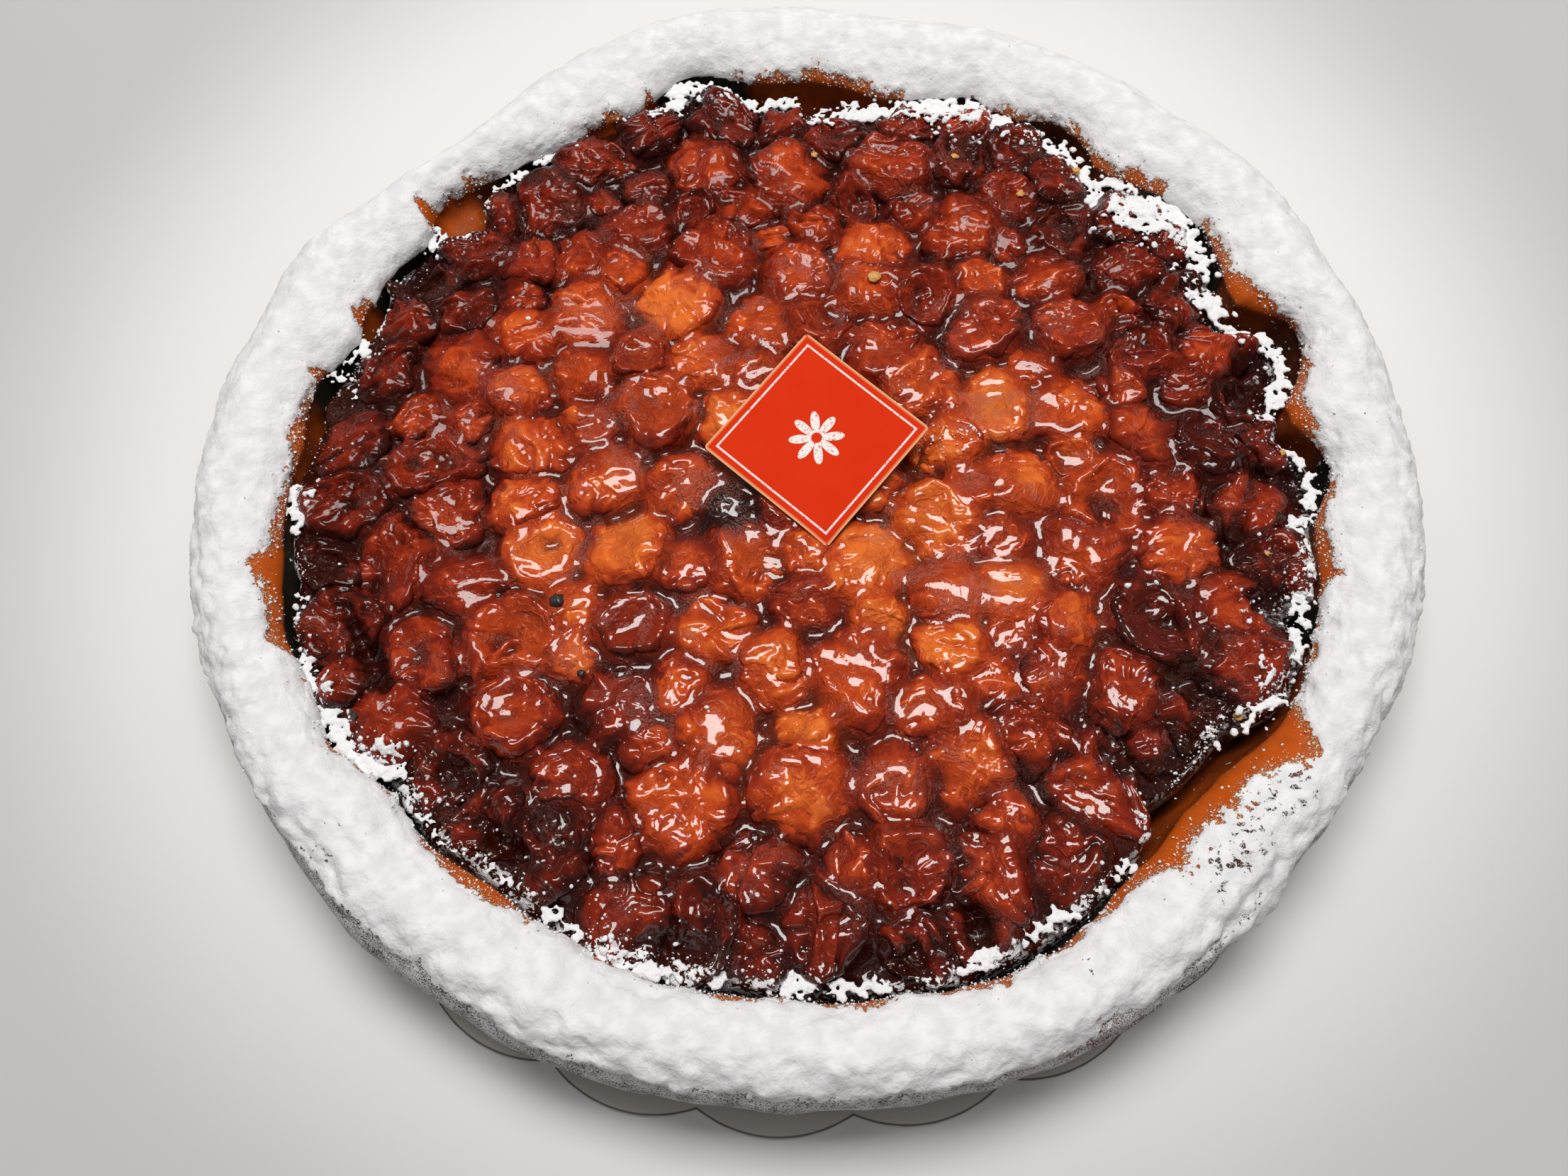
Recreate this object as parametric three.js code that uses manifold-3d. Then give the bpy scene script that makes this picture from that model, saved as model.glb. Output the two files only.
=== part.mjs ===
// An open cherry pie on its scalloped cake card, with a paper label laid on the fruit.
// Millimetres, +Z up. The origin is on the table, under the middle of the pie.
// Azimuths are in degrees, counter-clockwise from +X as seen from above; -90 is the near side.
import * as THREE from 'three';
import { mergeVertices } from 'three/addons/utils/BufferGeometryUtils.js';
import { ImprovedNoise } from 'three/addons/math/ImprovedNoise.js';
import Module from 'manifold-3d';

// ---- driving dimensions ----------------------------------------------------------------
const GAP = 0.3; // clearance between separate pieces that rest on each other

const CARD_MIDDLE = { x: -1.8, y: -14.8 }; // the pie doesn't lie quite in the middle of it
const CARD_TIP_RADIUS = 129.5; // to the tip of each scallop
const CARD_VALLEY_RADIUS = 125.7; // to the notch between two scallops
const CARD_SCALLOPS = 25;
const CARD_THICKNESS = 1.5;
const CARD_TURN = -95.8; // azimuth of one scallop's tip, from the card's middle

const RIM_RADIUS = 137.6; // widest reach of the rolled rim
const RIM_WAIST_Z = 19; // height of that widest line
const RIM_TOP_Z = 32.4;
const RIM_FOOT_INSET = 7.5; // how far the foot of the rim is tucked in under its widest line
const LIP_RADIUS = 117.5; // inner edge of the rim
const LIP_Z = 25.5;
const FLOOR_THICKNESS = 5; // pastry under the fruit
const SUGAR_LUMP = 0.8; // height of the lumps in the sugar coat

const SYRUP_Z = 24.2; // level of the set juice between the cherries
const FRINGE_RISE = 1.5; // ridge of sugar on the outer edge of the fruit
const CHERRY_CROWN = 3.9; // how far a usual cherry stands out of the juice
const CHERRY_ROOT = 1.6; // how deep its modelled part is sunk in the juice
const FILL_CHERRY_SIZES = [18, 17, 16, 14.5, 13, 11.5];
const FILL_CHERRY_TRIES = 2400; // random tries for each of those sizes
const CROWDING = 0.405; // least distance between two cherries, as a share of their sizes' sum

const LABEL_SIDE = 35.6;
const LABEL_THICKNESS = 0.6;
const LABEL_CORNER = 0.8; // radius of its worn corners
const LABEL_MIDDLE = { x: 4.3, y: -1.9, z: 30.9 }; // of its underside
const LABEL_TILT = 10; // the far corner is the higher one
const LABEL_TURN = 46; // of its sides, about the upright axis
const PROP_HEIGHT = 7; // most that a cherry rises to hold the label up

const CRUST_Z = CARD_THICKNESS + GAP;
const FLOOR_Z = CRUST_Z + FLOOR_THICKNESS;
// The rim's inner wall, from the floor to the lip: [z, how far inside the lip].
const WALL = [[FLOOR_Z, 7], [13, 2.6], [20, 0.4], [LIP_Z, 0]];
const PIE_SIDES = 100; // facets round the crust and the juice, which share the wall
const TAU = 2 * Math.PI;

// ---- what makes the pie uneven -----------------------------------------------------------
// Each swell is [azimuth, half width in degrees, change in mm], a smooth bump on a radius.
const RIM_SWELLS = [
  [266, 43, 2.5], // fuller near side
  [288, 12, 1.1],
  [227, 7, 1.2],
  [325, 6, -0.8],
  [131, 17, -12.5], // big dent of the far left
  [160, 4, -2.2],
  [76, 9, -2.6],
  [31, 3.5, -1.8],
  [62, 20, -0.9],
  [343, 8, 1.4],
  [314, 9, -1.0],
  [244, 6, 0.9],
];
const LIP_SWELLS = [
  [268, 30, 2.6],
  [208, 9, 2.2],
  [224, 12, -2.8],
  [311, 9, -4.0],
  [325, 5, 2.0],
  [351.5, 4.5, 2.6],
  [359.5, 3, -6.0],
  [8.5, 5.5, 5.0],
  [17, 4.5, -5.5],
  [27, 5, -1.5],
  [39, 6, -6.0],
  [50, 3.5, -1.0],
  [60, 7, -5.0],
  [84, 12, -2.6],
  [124, 15, -9.5],
  [142, 6, -4.5],
  [158, 7, -9.0],
];
// Gaps that opened between the fruit and the rim as the pie baked and shrank.
const EDGE_GAPS = [
  [84, 8.5, 13.5],
  [98.5, 5, 8.5],
  [74, 3.5, 5.0],
  [50, 7, 6.0],
  [22, 6, 4.5],
  [9, 5.5, 7.5],
  [352, 4.5, 5.5],
  [304.5, 2.6, 7.0],
  [335, 3, 3.0],
  [180, 14, 3.6],
  [151, 3, 4.0],
];
const EDGE_GAP = 1.2; // between the fruit and the rim elsewhere

// Long creases in the outer side of the rim: [from, to, rim ring, depth in mm].
const CREASES = [
  [304, 326, 'shoulder', 1.3],
  [286, 303, 'waist', 1.2],
  [207, 222, 'shoulder', 1.1],
];

// The cherries that stand out: [x, y, diameter, stretch, turn in degrees, form].
const CHERRIES = [
  [-46.7, 39, 19, 1.0, 0, 'round'],
  [-27, 41, 18, 1.05, 20, 'round'],
  [-6.4, 34, 16, 1.1, 10, 'round'],
  [-62, 57, 14, 1.0, 0, 'round'],
  [-15, 55, 20, 1.1, -15, 'round'],
  [22, 55, 16, 1.15, 60, 'round'],
  [-32, 13, 16, 1.25, 85, 'fold'],
  [-79, 27, 18, 1.1, -20, 'round'],
  [-82, 2.5, 17, 1.25, 5, 'fold'],
  [-89, -22, 20, 1.0, 0, 'fold'],
  [-55, -22, 16, 1.1, 15, 'fold'],
  [-40.5, -23, 19, 1.15, -10, 'round'],
  [-12.6, -30, 18, 1.0, 0, 'fold'],
  [13, -30, 18, 1.05, -35, 'round'],
  [29, -22, 16, 1.1, 90, 'round'],
  [43, -39, 14, 1.1, 60, 'round'],
  [-63, -42.5, 18, 1.25, -5, 'round'],
  [-38, -40, 15, 1.2, 0, 'fold'],
  [8, -55, 20, 1.0, 0, 'fold'],
  [29, -52, 14, 1.0, 0, 'round'],
  [-20, -67, 20, 1.1, 30, 'round'],
  [-41, -58, 18, 1.05, 0, 'fold'],
  [50, -60, 15, 1.0, 0, 'round'],
  [-29, -81, 20, 1.05, 10, 'fold'],
  [-4, -81, 20, 1.1, -20, 'round'],
  [29, -78, 18, 1.1, 10, 'round'],
  [15, -97, 15, 1.15, 50, 'round'],
  [31, -98, 15, 1.1, -60, 'fold'],
  [67, -18, 19, 1.15, 80, 'fold'],
  [81, -33, 15, 1.2, 60, 'round'],
  [74, -48, 17, 1.0, 0, 'fold'],
  [90, -46, 14, 1.3, 80, 'fold'],
  [60, 40, 17, 1.1, 75, 'round'],
  [44, 58, 17, 1.1, 10, 'round'],
  [4, 75, 20, 1.15, 0, 'fold'],
  [-20, 82, 19, 1.1, -15, 'round'],
  [29, 79, 18, 1.05, 30, 'round'],
  [5, 11, 17, 1.1, 20, 'round'],
  [30, 13, 17, 1.1, -10, 'round'],
  [45, 27, 16, 1.1, 40, 'round'],
  [98, 18, 15, 1.0, 0, 'round'],
  [62, 5, 16, 1.1, 15, 'round'],
  [-60, 5, 17, 1.1, 0, 'round'],
  [-41, -104, 16, 1.1, 20, 'round'],
  [57, -84, 17, 1.1, 40, 'round'],
];
const DRIED_CHERRY = [-15.7, -15.4, 9, 1.1, 30, 'round'];

// ---- helpers --------------------------------------------------------------------------
const radians = THREE.MathUtils.degToRad;

/** Sum of smooth bumps at an azimuth. */
function swell(bumps, azimuth) {
  let sum = 0;
  for (const [at, halfWidth, change] of bumps) {
    const away = THREE.MathUtils.euclideanModulo(azimuth - at + 180, 360) - 180;
    sum += change * Math.exp(-((away / halfWidth) ** 2));
  }
  return sum;
}

const rimRadius = (azimuth) => RIM_RADIUS + swell(RIM_SWELLS, azimuth);
const lipRadius = (azimuth) => LIP_RADIUS + swell(LIP_SWELLS, azimuth);
const fruitRadius = (azimuth) => lipRadius(azimuth) - EDGE_GAP - swell(EDGE_GAPS, azimuth);

/** A repeatable stream of numbers from 0 to 1. */
function randomStream(seed) {
  let state = seed >>> 0;
  return () => {
    state = (Math.imul(state, 1664525) + 1013904223) >>> 0;
    return state / 4294967296;
  };
}

/**
 * A closed solid swept round the Z axis. Each ring is a function of the azimuth in degrees
 * that gives [radius, z]; the rings run from the underside outward, up and back in.
 */
function polarSolid(sides, bottomZ, rings, topZ) {
  const points = [0, 0, bottomZ];
  for (const ring of rings) {
    for (let i = 0; i < sides; i += 1) {
      const angle = (TAU * i) / sides;
      const [radius, z] = ring(THREE.MathUtils.radToDeg(angle));
      points.push(radius * Math.cos(angle), radius * Math.sin(angle), z);
    }
  }
  points.push(0, 0, topZ);
  const top = 1 + rings.length * sides;
  const at = (k, i) => 1 + k * sides + (i % sides);
  const faces = [];
  for (let i = 0; i < sides; i += 1) {
    faces.push(0, at(0, i + 1), at(0, i));
    for (let k = 0; k + 1 < rings.length; k += 1) {
      faces.push(at(k, i), at(k, i + 1), at(k + 1, i + 1));
      faces.push(at(k, i), at(k + 1, i + 1), at(k + 1, i));
    }
    faces.push(at(rings.length - 1, i), at(rings.length - 1, i + 1), top);
  }
  const geometry = new THREE.BufferGeometry();
  geometry.setAttribute('position', new THREE.Float32BufferAttribute(points, 3));
  geometry.setIndex(faces);
  return geometry;
}

const wasm = await Module();
wasm.setup();

/** A three.js geometry as a manifold solid. */
function toSolid(geometry) {
  const bare = geometry.clone();
  bare.deleteAttribute('normal');
  bare.deleteAttribute('uv');
  const merged = mergeVertices(bare);
  return new wasm.Manifold(new wasm.Mesh({
    numProp: 3,
    vertProperties: Float32Array.from(merged.attributes.position.array),
    triVerts: Uint32Array.from(merged.index.array),
  }));
}

/** A manifold solid as a three.js geometry. */
function toGeometry(solid) {
  const mesh = solid.getMesh();
  const geometry = new THREE.BufferGeometry();
  geometry.setAttribute('position', new THREE.BufferAttribute(mesh.vertProperties, 3));
  geometry.setIndex(new THREE.BufferAttribute(mesh.triVerts, 1));
  return geometry;
}

function named(name, geometry, color, roughness) {
  geometry.computeVertexNormals();
  const material = new THREE.MeshStandardMaterial({ color, roughness, metalness: 0 });
  const mesh = new THREE.Mesh(geometry, material);
  mesh.name = name;
  return mesh;
}

// ---- cake card --------------------------------------------------------------------------
/** The thin scalloped card: one round arc from notch to notch for each scallop. */
function cardGeometry() {
  const halfPitch = Math.PI / CARD_SCALLOPS;
  const notchHalf = CARD_VALLEY_RADIUS * Math.sin(halfPitch);
  const rise = CARD_TIP_RADIUS - CARD_VALLEY_RADIUS * Math.cos(halfPitch);
  const arcRadius = (notchHalf ** 2 + rise ** 2) / (2 * rise);
  const arcHalf = Math.asin(notchHalf / arcRadius);
  const outline = new THREE.Shape();
  for (let i = 0; i < CARD_SCALLOPS; i += 1) {
    const tip = radians(CARD_TURN) + (TAU * i) / CARD_SCALLOPS;
    const reach = CARD_TIP_RADIUS - arcRadius;
    const x = CARD_MIDDLE.x + reach * Math.cos(tip);
    const y = CARD_MIDDLE.y + reach * Math.sin(tip);
    outline.absarc(x, y, arcRadius, tip - arcHalf, tip + arcHalf, false);
  }
  return new THREE.ExtrudeGeometry(outline, {
    depth: CARD_THICKNESS, bevelEnabled: false, curveSegments: 3,
  });
}

// ---- crust ------------------------------------------------------------------------------
const lumps = new ImprovedNoise();

/** Height of the sugar coat's lumps at a place on the rim. */
function lumpHeight(azimuth, ring) {
  const u = 9 * Math.cos(radians(azimuth));
  const v = 9 * Math.sin(radians(azimuth));
  return SUGAR_LUMP * (lumps.noise(u, v, ring * 0.9) + 0.6 * lumps.noise(2.3 * u, 2.3 * v, ring * 2.1));
}

/** How deep the creases of one rim ring are at an azimuth. */
function creaseDepth(azimuth, ringName) {
  let depth = 0;
  for (const [from, to, name, deepest] of CREASES) {
    if (name === ringName && azimuth > from && azimuth < to) {
      depth += deepest * Math.sin((Math.PI * (azimuth - from)) / (to - from));
    }
  }
  return depth;
}

/** One ring of the rim: its place between the lip (0) and the rim's widest line (1), and z. */
function rimRing(number, name, across, z) {
  return (azimuth) => {
    const lip = lipRadius(azimuth);
    const rim = rimRadius(azimuth);
    const middle = (lip + rim) / 2;
    const radius = lip + across * (rim - lip);
    const away = Math.hypot(radius - middle, z - RIM_WAIST_Z);
    const out = (lumpHeight(azimuth, number) - creaseDepth(azimuth, name)) / away;
    return [radius + out * (radius - middle), z + out * (z - RIM_WAIST_Z)];
  };
}

function crustGeometry() {
  const rings = [
    (azimuth) => [rimRadius(azimuth) - RIM_FOOT_INSET, CRUST_Z],
    (azimuth) => [rimRadius(azimuth) - 0.45 * RIM_FOOT_INSET, CRUST_Z + 3.6],
    rimRing(1, 'skirt', 0.965, 11.5),
    rimRing(2, 'waist', 1, RIM_WAIST_Z),
    rimRing(3, 'brow', 0.95, 25.2),
    rimRing(4, 'shoulder', 0.79, 29.8),
    rimRing(5, 'crest', 0.55, RIM_TOP_Z),
    rimRing(6, 'slope', 0.29, 31),
    rimRing(7, 'inner slope', 0.1, 28.6),
    ...WALL.toReversed().map(([z, inset]) => (azimuth) => [lipRadius(azimuth) - inset, z]),
  ];
  return polarSolid(PIE_SIDES, CRUST_Z, rings, FLOOR_Z);
}

// ---- cherries ----------------------------------------------------------------------------
/** Moves a cherry inward until it lies inside the fruit's outline. */
function settled([x, y, size, stretch, turn, form]) {
  let reach = Math.hypot(x, y);
  const azimuth = Math.atan2(y, x);
  const inside = () => {
    for (let step = 0; step < 12; step += 1) {
      const around = (TAU * step) / 12;
      const px = reach * Math.cos(azimuth) + 0.54 * size * Math.cos(around);
      const py = reach * Math.sin(azimuth) + 0.54 * size * Math.sin(around);
      const edge = fruitRadius(THREE.MathUtils.radToDeg(Math.atan2(py, px)));
      if (Math.hypot(px, py) > edge - 0.8) return false;
    }
    return true;
  };
  while (!inside()) reach -= 0.5;
  return { x: reach * Math.cos(azimuth), y: reach * Math.sin(azimuth), size, stretch, turn, form };
}

/** All the cherries: the ones that stand out, then smaller and smaller ones between them. */
function layCherries() {
  const laid = [...CHERRIES, DRIED_CHERRY].map(settled);
  const random = randomStream(41);
  for (const size of FILL_CHERRY_SIZES) {
    for (let tried = 0; tried < FILL_CHERRY_TRIES; tried += 1) {
      const reach = LIP_RADIUS * Math.sqrt(random());
      const around = TAU * random();
      const stretch = 1 + 0.3 * random();
      const turn = 180 * random();
      const form = random() < 0.4 ? 'fold' : 'round';
      const x = reach * Math.cos(around);
      const y = reach * Math.sin(around);
      const next = settled([x, y, size, stretch, turn, form]);
      const free = laid.every((other) => {
        const apart = Math.hypot(next.x - other.x, next.y - other.y);
        return apart > CROWDING * (size + other.size);
      });
      if (free) laid.push(next);
    }
  }
  return laid;
}

// A cherry's crown: the facets round it, how wide its sunk foot is, and its rings, each as
// [share of the cherry's radius, share of its height].
const CROWNS = {
  round: { sides: 7, foot: 1.06, rings: [[0.88, 0.6], [0.46, 1]], middle: 0.97 },
  fold: { sides: 7, foot: 1.06, rings: [[0.86, 0.97], [0.44, 0.8]], middle: 0.5 },
  small: { sides: 6, foot: 1.08, rings: [[0.66, 0.85]], middle: 1 },
};
const SMALL_CHERRY = 14.5; // up to this size the simplest crown is enough

/** Height of the label's underside over the juice at a place, or nothing outside the label. */
function labelOver(x, y) {
  const turn = radians(LABEL_TURN);
  const dx = x - LABEL_MIDDLE.x;
  const dy = (y - LABEL_MIDDLE.y) / Math.cos(radians(LABEL_TILT));
  const along = Math.abs(dx * Math.cos(turn) + dy * Math.sin(turn));
  const across = Math.abs(dy * Math.cos(turn) - dx * Math.sin(turn));
  if (Math.max(along, across) > LABEL_SIDE / 2 + 1) return null;
  return LABEL_MIDDLE.z + Math.tan(radians(LABEL_TILT)) * (y - LABEL_MIDDLE.y) - SYRUP_Z;
}

/** How far a cherry stands out of the juice: the middle of the pie is fuller. */
function crownHeight(cherry) {
  const reach = Math.hypot(cherry.x, cherry.y) / LIP_RADIUS;
  const free = (CHERRY_CROWN + 1.6 * (1 - reach ** 2)) * (0.55 + 0.45 * (cherry.size / 18));
  const middle = labelOver(cherry.x, cherry.y);
  let height = middle === null ? free : Math.min(middle, PROP_HEIGHT);
  for (let step = 0; step < 16; step += 1) {
    const around = (TAU * step) / 16;
    const x = cherry.x + 0.42 * cherry.size * Math.cos(around);
    const y = cherry.y + 0.42 * cherry.size * Math.sin(around);
    height = Math.min(height, (labelOver(x, y) ?? Infinity) - GAP);
  }
  return height;
}

function cherrySolid(cherry, index) {
  const { sides, foot, rings, middle } = CROWNS[cherry.size > SMALL_CHERRY ? cherry.form : 'small'];
  const height = crownHeight(cherry);
  const wobble = (azimuth) => 1
    + 0.05 * Math.cos(radians(3 * azimuth + 77 * index))
    + 0.04 * Math.cos(radians(2 * azimuth + 131 * index));
  const radius = cherry.size / 2 / Math.sqrt(cherry.stretch);
  const levels = [(azimuth) => [foot * radius * wobble(azimuth), -CHERRY_ROOT]];
  for (const [share, rise] of rings) {
    levels.push((azimuth) => [share * radius * wobble(azimuth), rise * height]);
  }
  const geometry = polarSolid(sides, -CHERRY_ROOT, levels, middle * height);
  geometry.scale(cherry.stretch, 1, 1);
  geometry.rotateZ(radians(cherry.turn));
  geometry.translate(cherry.x, cherry.y, SYRUP_Z);
  return toSolid(geometry);
}

/** The set juice with its sugared outer edge. */
function juiceGeometry() {
  const foot = WALL.slice(0, -1).map(([z, inset], level) => (azimuth) => {
    const radius = Math.min(fruitRadius(azimuth), lipRadius(azimuth) - inset - GAP);
    return [radius, level === 0 ? z + GAP : z];
  });
  const rings = [
    ...foot,
    (azimuth) => [fruitRadius(azimuth), SYRUP_Z - 0.6],
    (azimuth) => [fruitRadius(azimuth) - 1.4, SYRUP_Z + FRINGE_RISE],
    (azimuth) => [fruitRadius(azimuth) - 4.2, SYRUP_Z],
  ];
  return polarSolid(PIE_SIDES, FLOOR_Z + GAP, rings, SYRUP_Z);
}

function fillingGeometry() {
  const solids = layCherries().map(cherrySolid);
  return toGeometry(wasm.Manifold.union([toSolid(juiceGeometry()), ...solids]));
}

// ---- label --------------------------------------------------------------------------------
/** A square card with worn corners, tilted towards the near side. */
function labelGeometry() {
  const flat = LABEL_SIDE / 2 - LABEL_CORNER;
  const outline = new THREE.Shape();
  outline.absarc(flat, flat, LABEL_CORNER, 0, Math.PI / 2, false);
  outline.absarc(-flat, flat, LABEL_CORNER, Math.PI / 2, Math.PI, false);
  outline.absarc(-flat, -flat, LABEL_CORNER, Math.PI, 1.5 * Math.PI, false);
  outline.absarc(flat, -flat, LABEL_CORNER, 1.5 * Math.PI, TAU, false);
  const geometry = new THREE.ExtrudeGeometry(outline, {
    depth: LABEL_THICKNESS, bevelEnabled: false, curveSegments: 2,
  });
  geometry.rotateZ(radians(LABEL_TURN));
  geometry.rotateX(radians(LABEL_TILT));
  geometry.translate(LABEL_MIDDLE.x, LABEL_MIDDLE.y, LABEL_MIDDLE.z);
  return geometry;
}

// ---- the pie --------------------------------------------------------------------------------
const pie = new THREE.Group();
pie.add(named('cake_card', cardGeometry(), 0x9a9290, 0.6));
pie.add(named('crust', crustGeometry(), 0xeeeeec, 0.9));
pie.add(named('cherry_filling', fillingGeometry(), 0x7a2418, 0.3));
pie.add(named('label_card', labelGeometry(), 0xe02e14, 0.45));

export default pie;
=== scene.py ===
"""An open cherry pie with a sugared rim, on a scalloped cake card, with a small label card.

Sizes are in millimetres inside the classes and become metres where a mesh is made. +Z is up and
the origin is under the middle of the pie, on the table. Azimuths are in degrees, counter-clockwise
from +X as seen from above; 270 is the near side.
"""

import logging
import math
from dataclasses import dataclass, field
from enum import Enum

import bpy
import numpy as np
from mathutils import Matrix, Vector

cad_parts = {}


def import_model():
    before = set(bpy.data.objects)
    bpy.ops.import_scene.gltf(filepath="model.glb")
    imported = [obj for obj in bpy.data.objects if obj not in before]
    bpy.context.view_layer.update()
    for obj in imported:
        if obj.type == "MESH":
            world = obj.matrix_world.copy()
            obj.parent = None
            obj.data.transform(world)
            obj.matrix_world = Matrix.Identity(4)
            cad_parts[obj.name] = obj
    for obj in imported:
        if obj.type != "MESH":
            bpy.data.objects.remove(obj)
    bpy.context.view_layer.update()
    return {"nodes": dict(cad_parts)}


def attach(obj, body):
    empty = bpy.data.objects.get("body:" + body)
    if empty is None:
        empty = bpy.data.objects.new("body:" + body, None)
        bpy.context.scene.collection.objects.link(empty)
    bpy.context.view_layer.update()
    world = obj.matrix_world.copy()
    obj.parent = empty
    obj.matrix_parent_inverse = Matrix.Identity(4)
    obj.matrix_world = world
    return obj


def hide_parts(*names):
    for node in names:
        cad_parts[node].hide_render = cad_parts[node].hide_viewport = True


LOG = logging.getLogger("pie")
MM = 0.001
TAU = 2 * math.pi
Array = np.ndarray
Draw = np.random.Generator
Piece = bpy.types.Object
Material = bpy.types.Material
Pair = tuple[float, float]
Triple = tuple[float, float, float]
Colour = tuple[float, float, float, float]
Stations = tuple[tuple[float, ...], ...]


# ---- numbers ----
def ease(low: float | Array, high: float | Array, value: Array) -> Array:
    """Rises smoothly from 0 to 1.

    Args:
        low: where the rise starts.
        high: where it ends.
        value: the numbers to ease.

    Returns:
        0 below low, 1 above high and a smooth rise between them.
    """
    share = np.clip((value - low) / (high - low), 0, 1)
    return share * share * (3 - 2 * share)


def polar(radius: Array, angle: Array, z: Array | float = 0.0) -> Array:
    """Rows of x, y and z at radii and angles, in radians, round the pie's axis."""
    return np.stack([radius * np.cos(angle), radius * np.sin(angle), z + 0 * radius], axis=1)


def bell(value: Array, power: int = 2) -> Array:
    """1 at 0, falling off on both sides; a higher power makes its shoulders squarer."""
    return np.exp(-(value**power))


def azimuth_of(points: Array) -> Array:
    """Azimuths of points in degrees, from 0 to 360."""
    return np.degrees(np.arctan2(points[:, 1], points[:, 0])) % 360


def reach_of(points: Array) -> Array:
    """Distances of points from the pie's axis."""
    return np.hypot(points[:, 0], points[:, 1])


def apart(first: Array, second: float) -> Array:
    """Signed degrees from the second azimuth to the first, from -180 to 180."""
    return (first - second + 180) % 360 - 180


def within(azimuth: Array, middle: float, start: float, full: float) -> Array:
    """How far azimuths lie within a stretch round the pie.

    Args:
        azimuth: the azimuths.
        middle: azimuth of the stretch's middle.
        start: its half width in degrees.
        full: half width of the part that counts as 1.

    Returns:
        A share from 0 to 1 for each azimuth.
    """
    return ease(start, full, np.abs(apart(azimuth, middle)))


class Grain:
    """Smooth noise in space that is the same on each run, from about -1 to 1."""

    gain = 1.7  # brings the noise to about -1 to 1
    shift = 31.7  # between the layers, in sizes of the noise
    finer, fainter = 2.1, 1.9  # how much from each layer to the next
    crest_round, crest_steep = 0.006, 1.8

    def __init__(self, seed: int) -> None:
        """Draws the slopes that the noise is made of."""
        draw = np.random.default_rng(seed)
        self.order = np.tile(draw.permutation(256), 2)
        slopes = draw.normal(size=(256, 3))
        self.slopes = slopes / np.linalg.norm(slopes, axis=1)[:, None]

    def at(self, points: Array, size: float = 1.0) -> Array:
        """Noise at some points.

        Args:
            points: rows of x, y and z.
            size: length of one swell of the noise, in the points' unit.

        Returns:
            One number for each point.
        """
        spots = points / size
        cell = np.floor(spots).astype(np.int64)
        inside = spots - cell
        fade = inside**3 * (inside * (inside * 6 - 15) + 10)
        total = np.zeros(len(spots))
        for corner in np.ndindex(2, 2, 2):
            x, y, z = (cell + corner).T & 255
            slope = self.slopes[self.order[self.order[self.order[x] + y] + z]]
            weight = np.prod(np.where(corner, fade, 1 - fade), axis=1)
            total += weight * ((inside - corner) * slope).sum(axis=1)
        return self.gain * total

    def layers(self, points: Array, size: float, count: int = 3) -> Array:
        """Noise with finer and fainter noise laid over it."""
        return sum(
            self.at(points + self.shift * k, size / self.finer**k) / self.fainter**k
            for k in range(count)
        )

    def drift(self, points: Array, size: float) -> Array:
        """Slow shifts in the plane, each from about -1 to 1."""
        x, y = self.at(points, size), self.at(points + 50, size)
        return np.stack([x, y, np.zeros(len(points))], axis=1)

    def ridges(self, points: Array, size: float) -> Array:
        """Noise of rounded crests with broad hollows between them, from 0 to 1."""
        away = np.sqrt(self.at(points, size) ** 2 + self.crest_round)
        return np.clip(1 - away * self.crest_steep, 0, 1)


@dataclass(frozen=True)
class Outline:
    """A closed line round the pie: a radius with smooth swells and dips on it."""

    radius: float
    swells: Stations  # azimuth, half width in degrees and change in mm

    def at(self, azimuth: Array) -> Array:
        """Radius of the line at some azimuths."""
        radius = np.full(np.shape(azimuth), self.radius)
        for middle, half_width, change in self.swells:
            radius += change * bell(apart(azimuth, middle) / half_width)
        return radius


@dataclass(frozen=True)
class Course:
    """A value that runs from station to station round the pie."""

    stations: Stations  # azimuth and value

    def at(self, azimuth: Array) -> Array:
        """Value at some azimuths."""
        angles, values = zip(*self.stations)
        return np.interp(azimuth, angles, values, period=360)

    def outside(self, points: Array) -> Array:
        """How far points lie outside a line whose radius this is, in mm."""
        return reach_of(points) - self.at(azimuth_of(points))


# ---- outlines of the pie ----
RIM = Outline(137.6, (
    (266, 43, 2.5), (288, 12, 1.1), (227, 7, 1.2), (325, 6, -0.8), (131, 17, -12.5), (161, 4, -1.4),
    (76, 9, -2.4), (27, 7, 1.3), (151, 4, 2.2), (62, 20, -0.9), (343, 8, 1.4),
    (314, 9, -1.0), (244, 6, 0.9),
))
LAYOUT_SWELLS = (
    (268, 30, 2.6), (208, 9, 2.2), (224, 12, -2.8), (311, 9, -4), (325, 5, 2),
    (351.5, 4.5, 2.6), (359.5, 3, -6), (8.5, 5.5, 5), (17, 4.5, -5.5), (27, 5, -1.5),
    (39, 6, -6), (50, 3.5, -1), (60, 7, -5), (84, 12, -2.6), (124, 15, -9.5),
    (142, 6, -4.5), (158, 7, -9),
)
LAYOUT_GAPS = (
    (84, 8.5, -13.5), (98.5, 5, -8.5), (74, 3.5, -5), (50, 7, -6), (22, 6, -4.5),
    (9, 5.5, -7.5), (352, 4.5, -5.5), (304.5, 2.6, -7), (335, 3, -3), (180, 14, -3.6),
    (151, 3, -4),
)
# The line that no cherry crosses, and the radius that the random tries are spread over.
LAYOUT_RADIUS = 117.5
FRUIT_LIMIT = Outline(LAYOUT_RADIUS - 1.2, LAYOUT_SWELLS + LAYOUT_GAPS)

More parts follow.
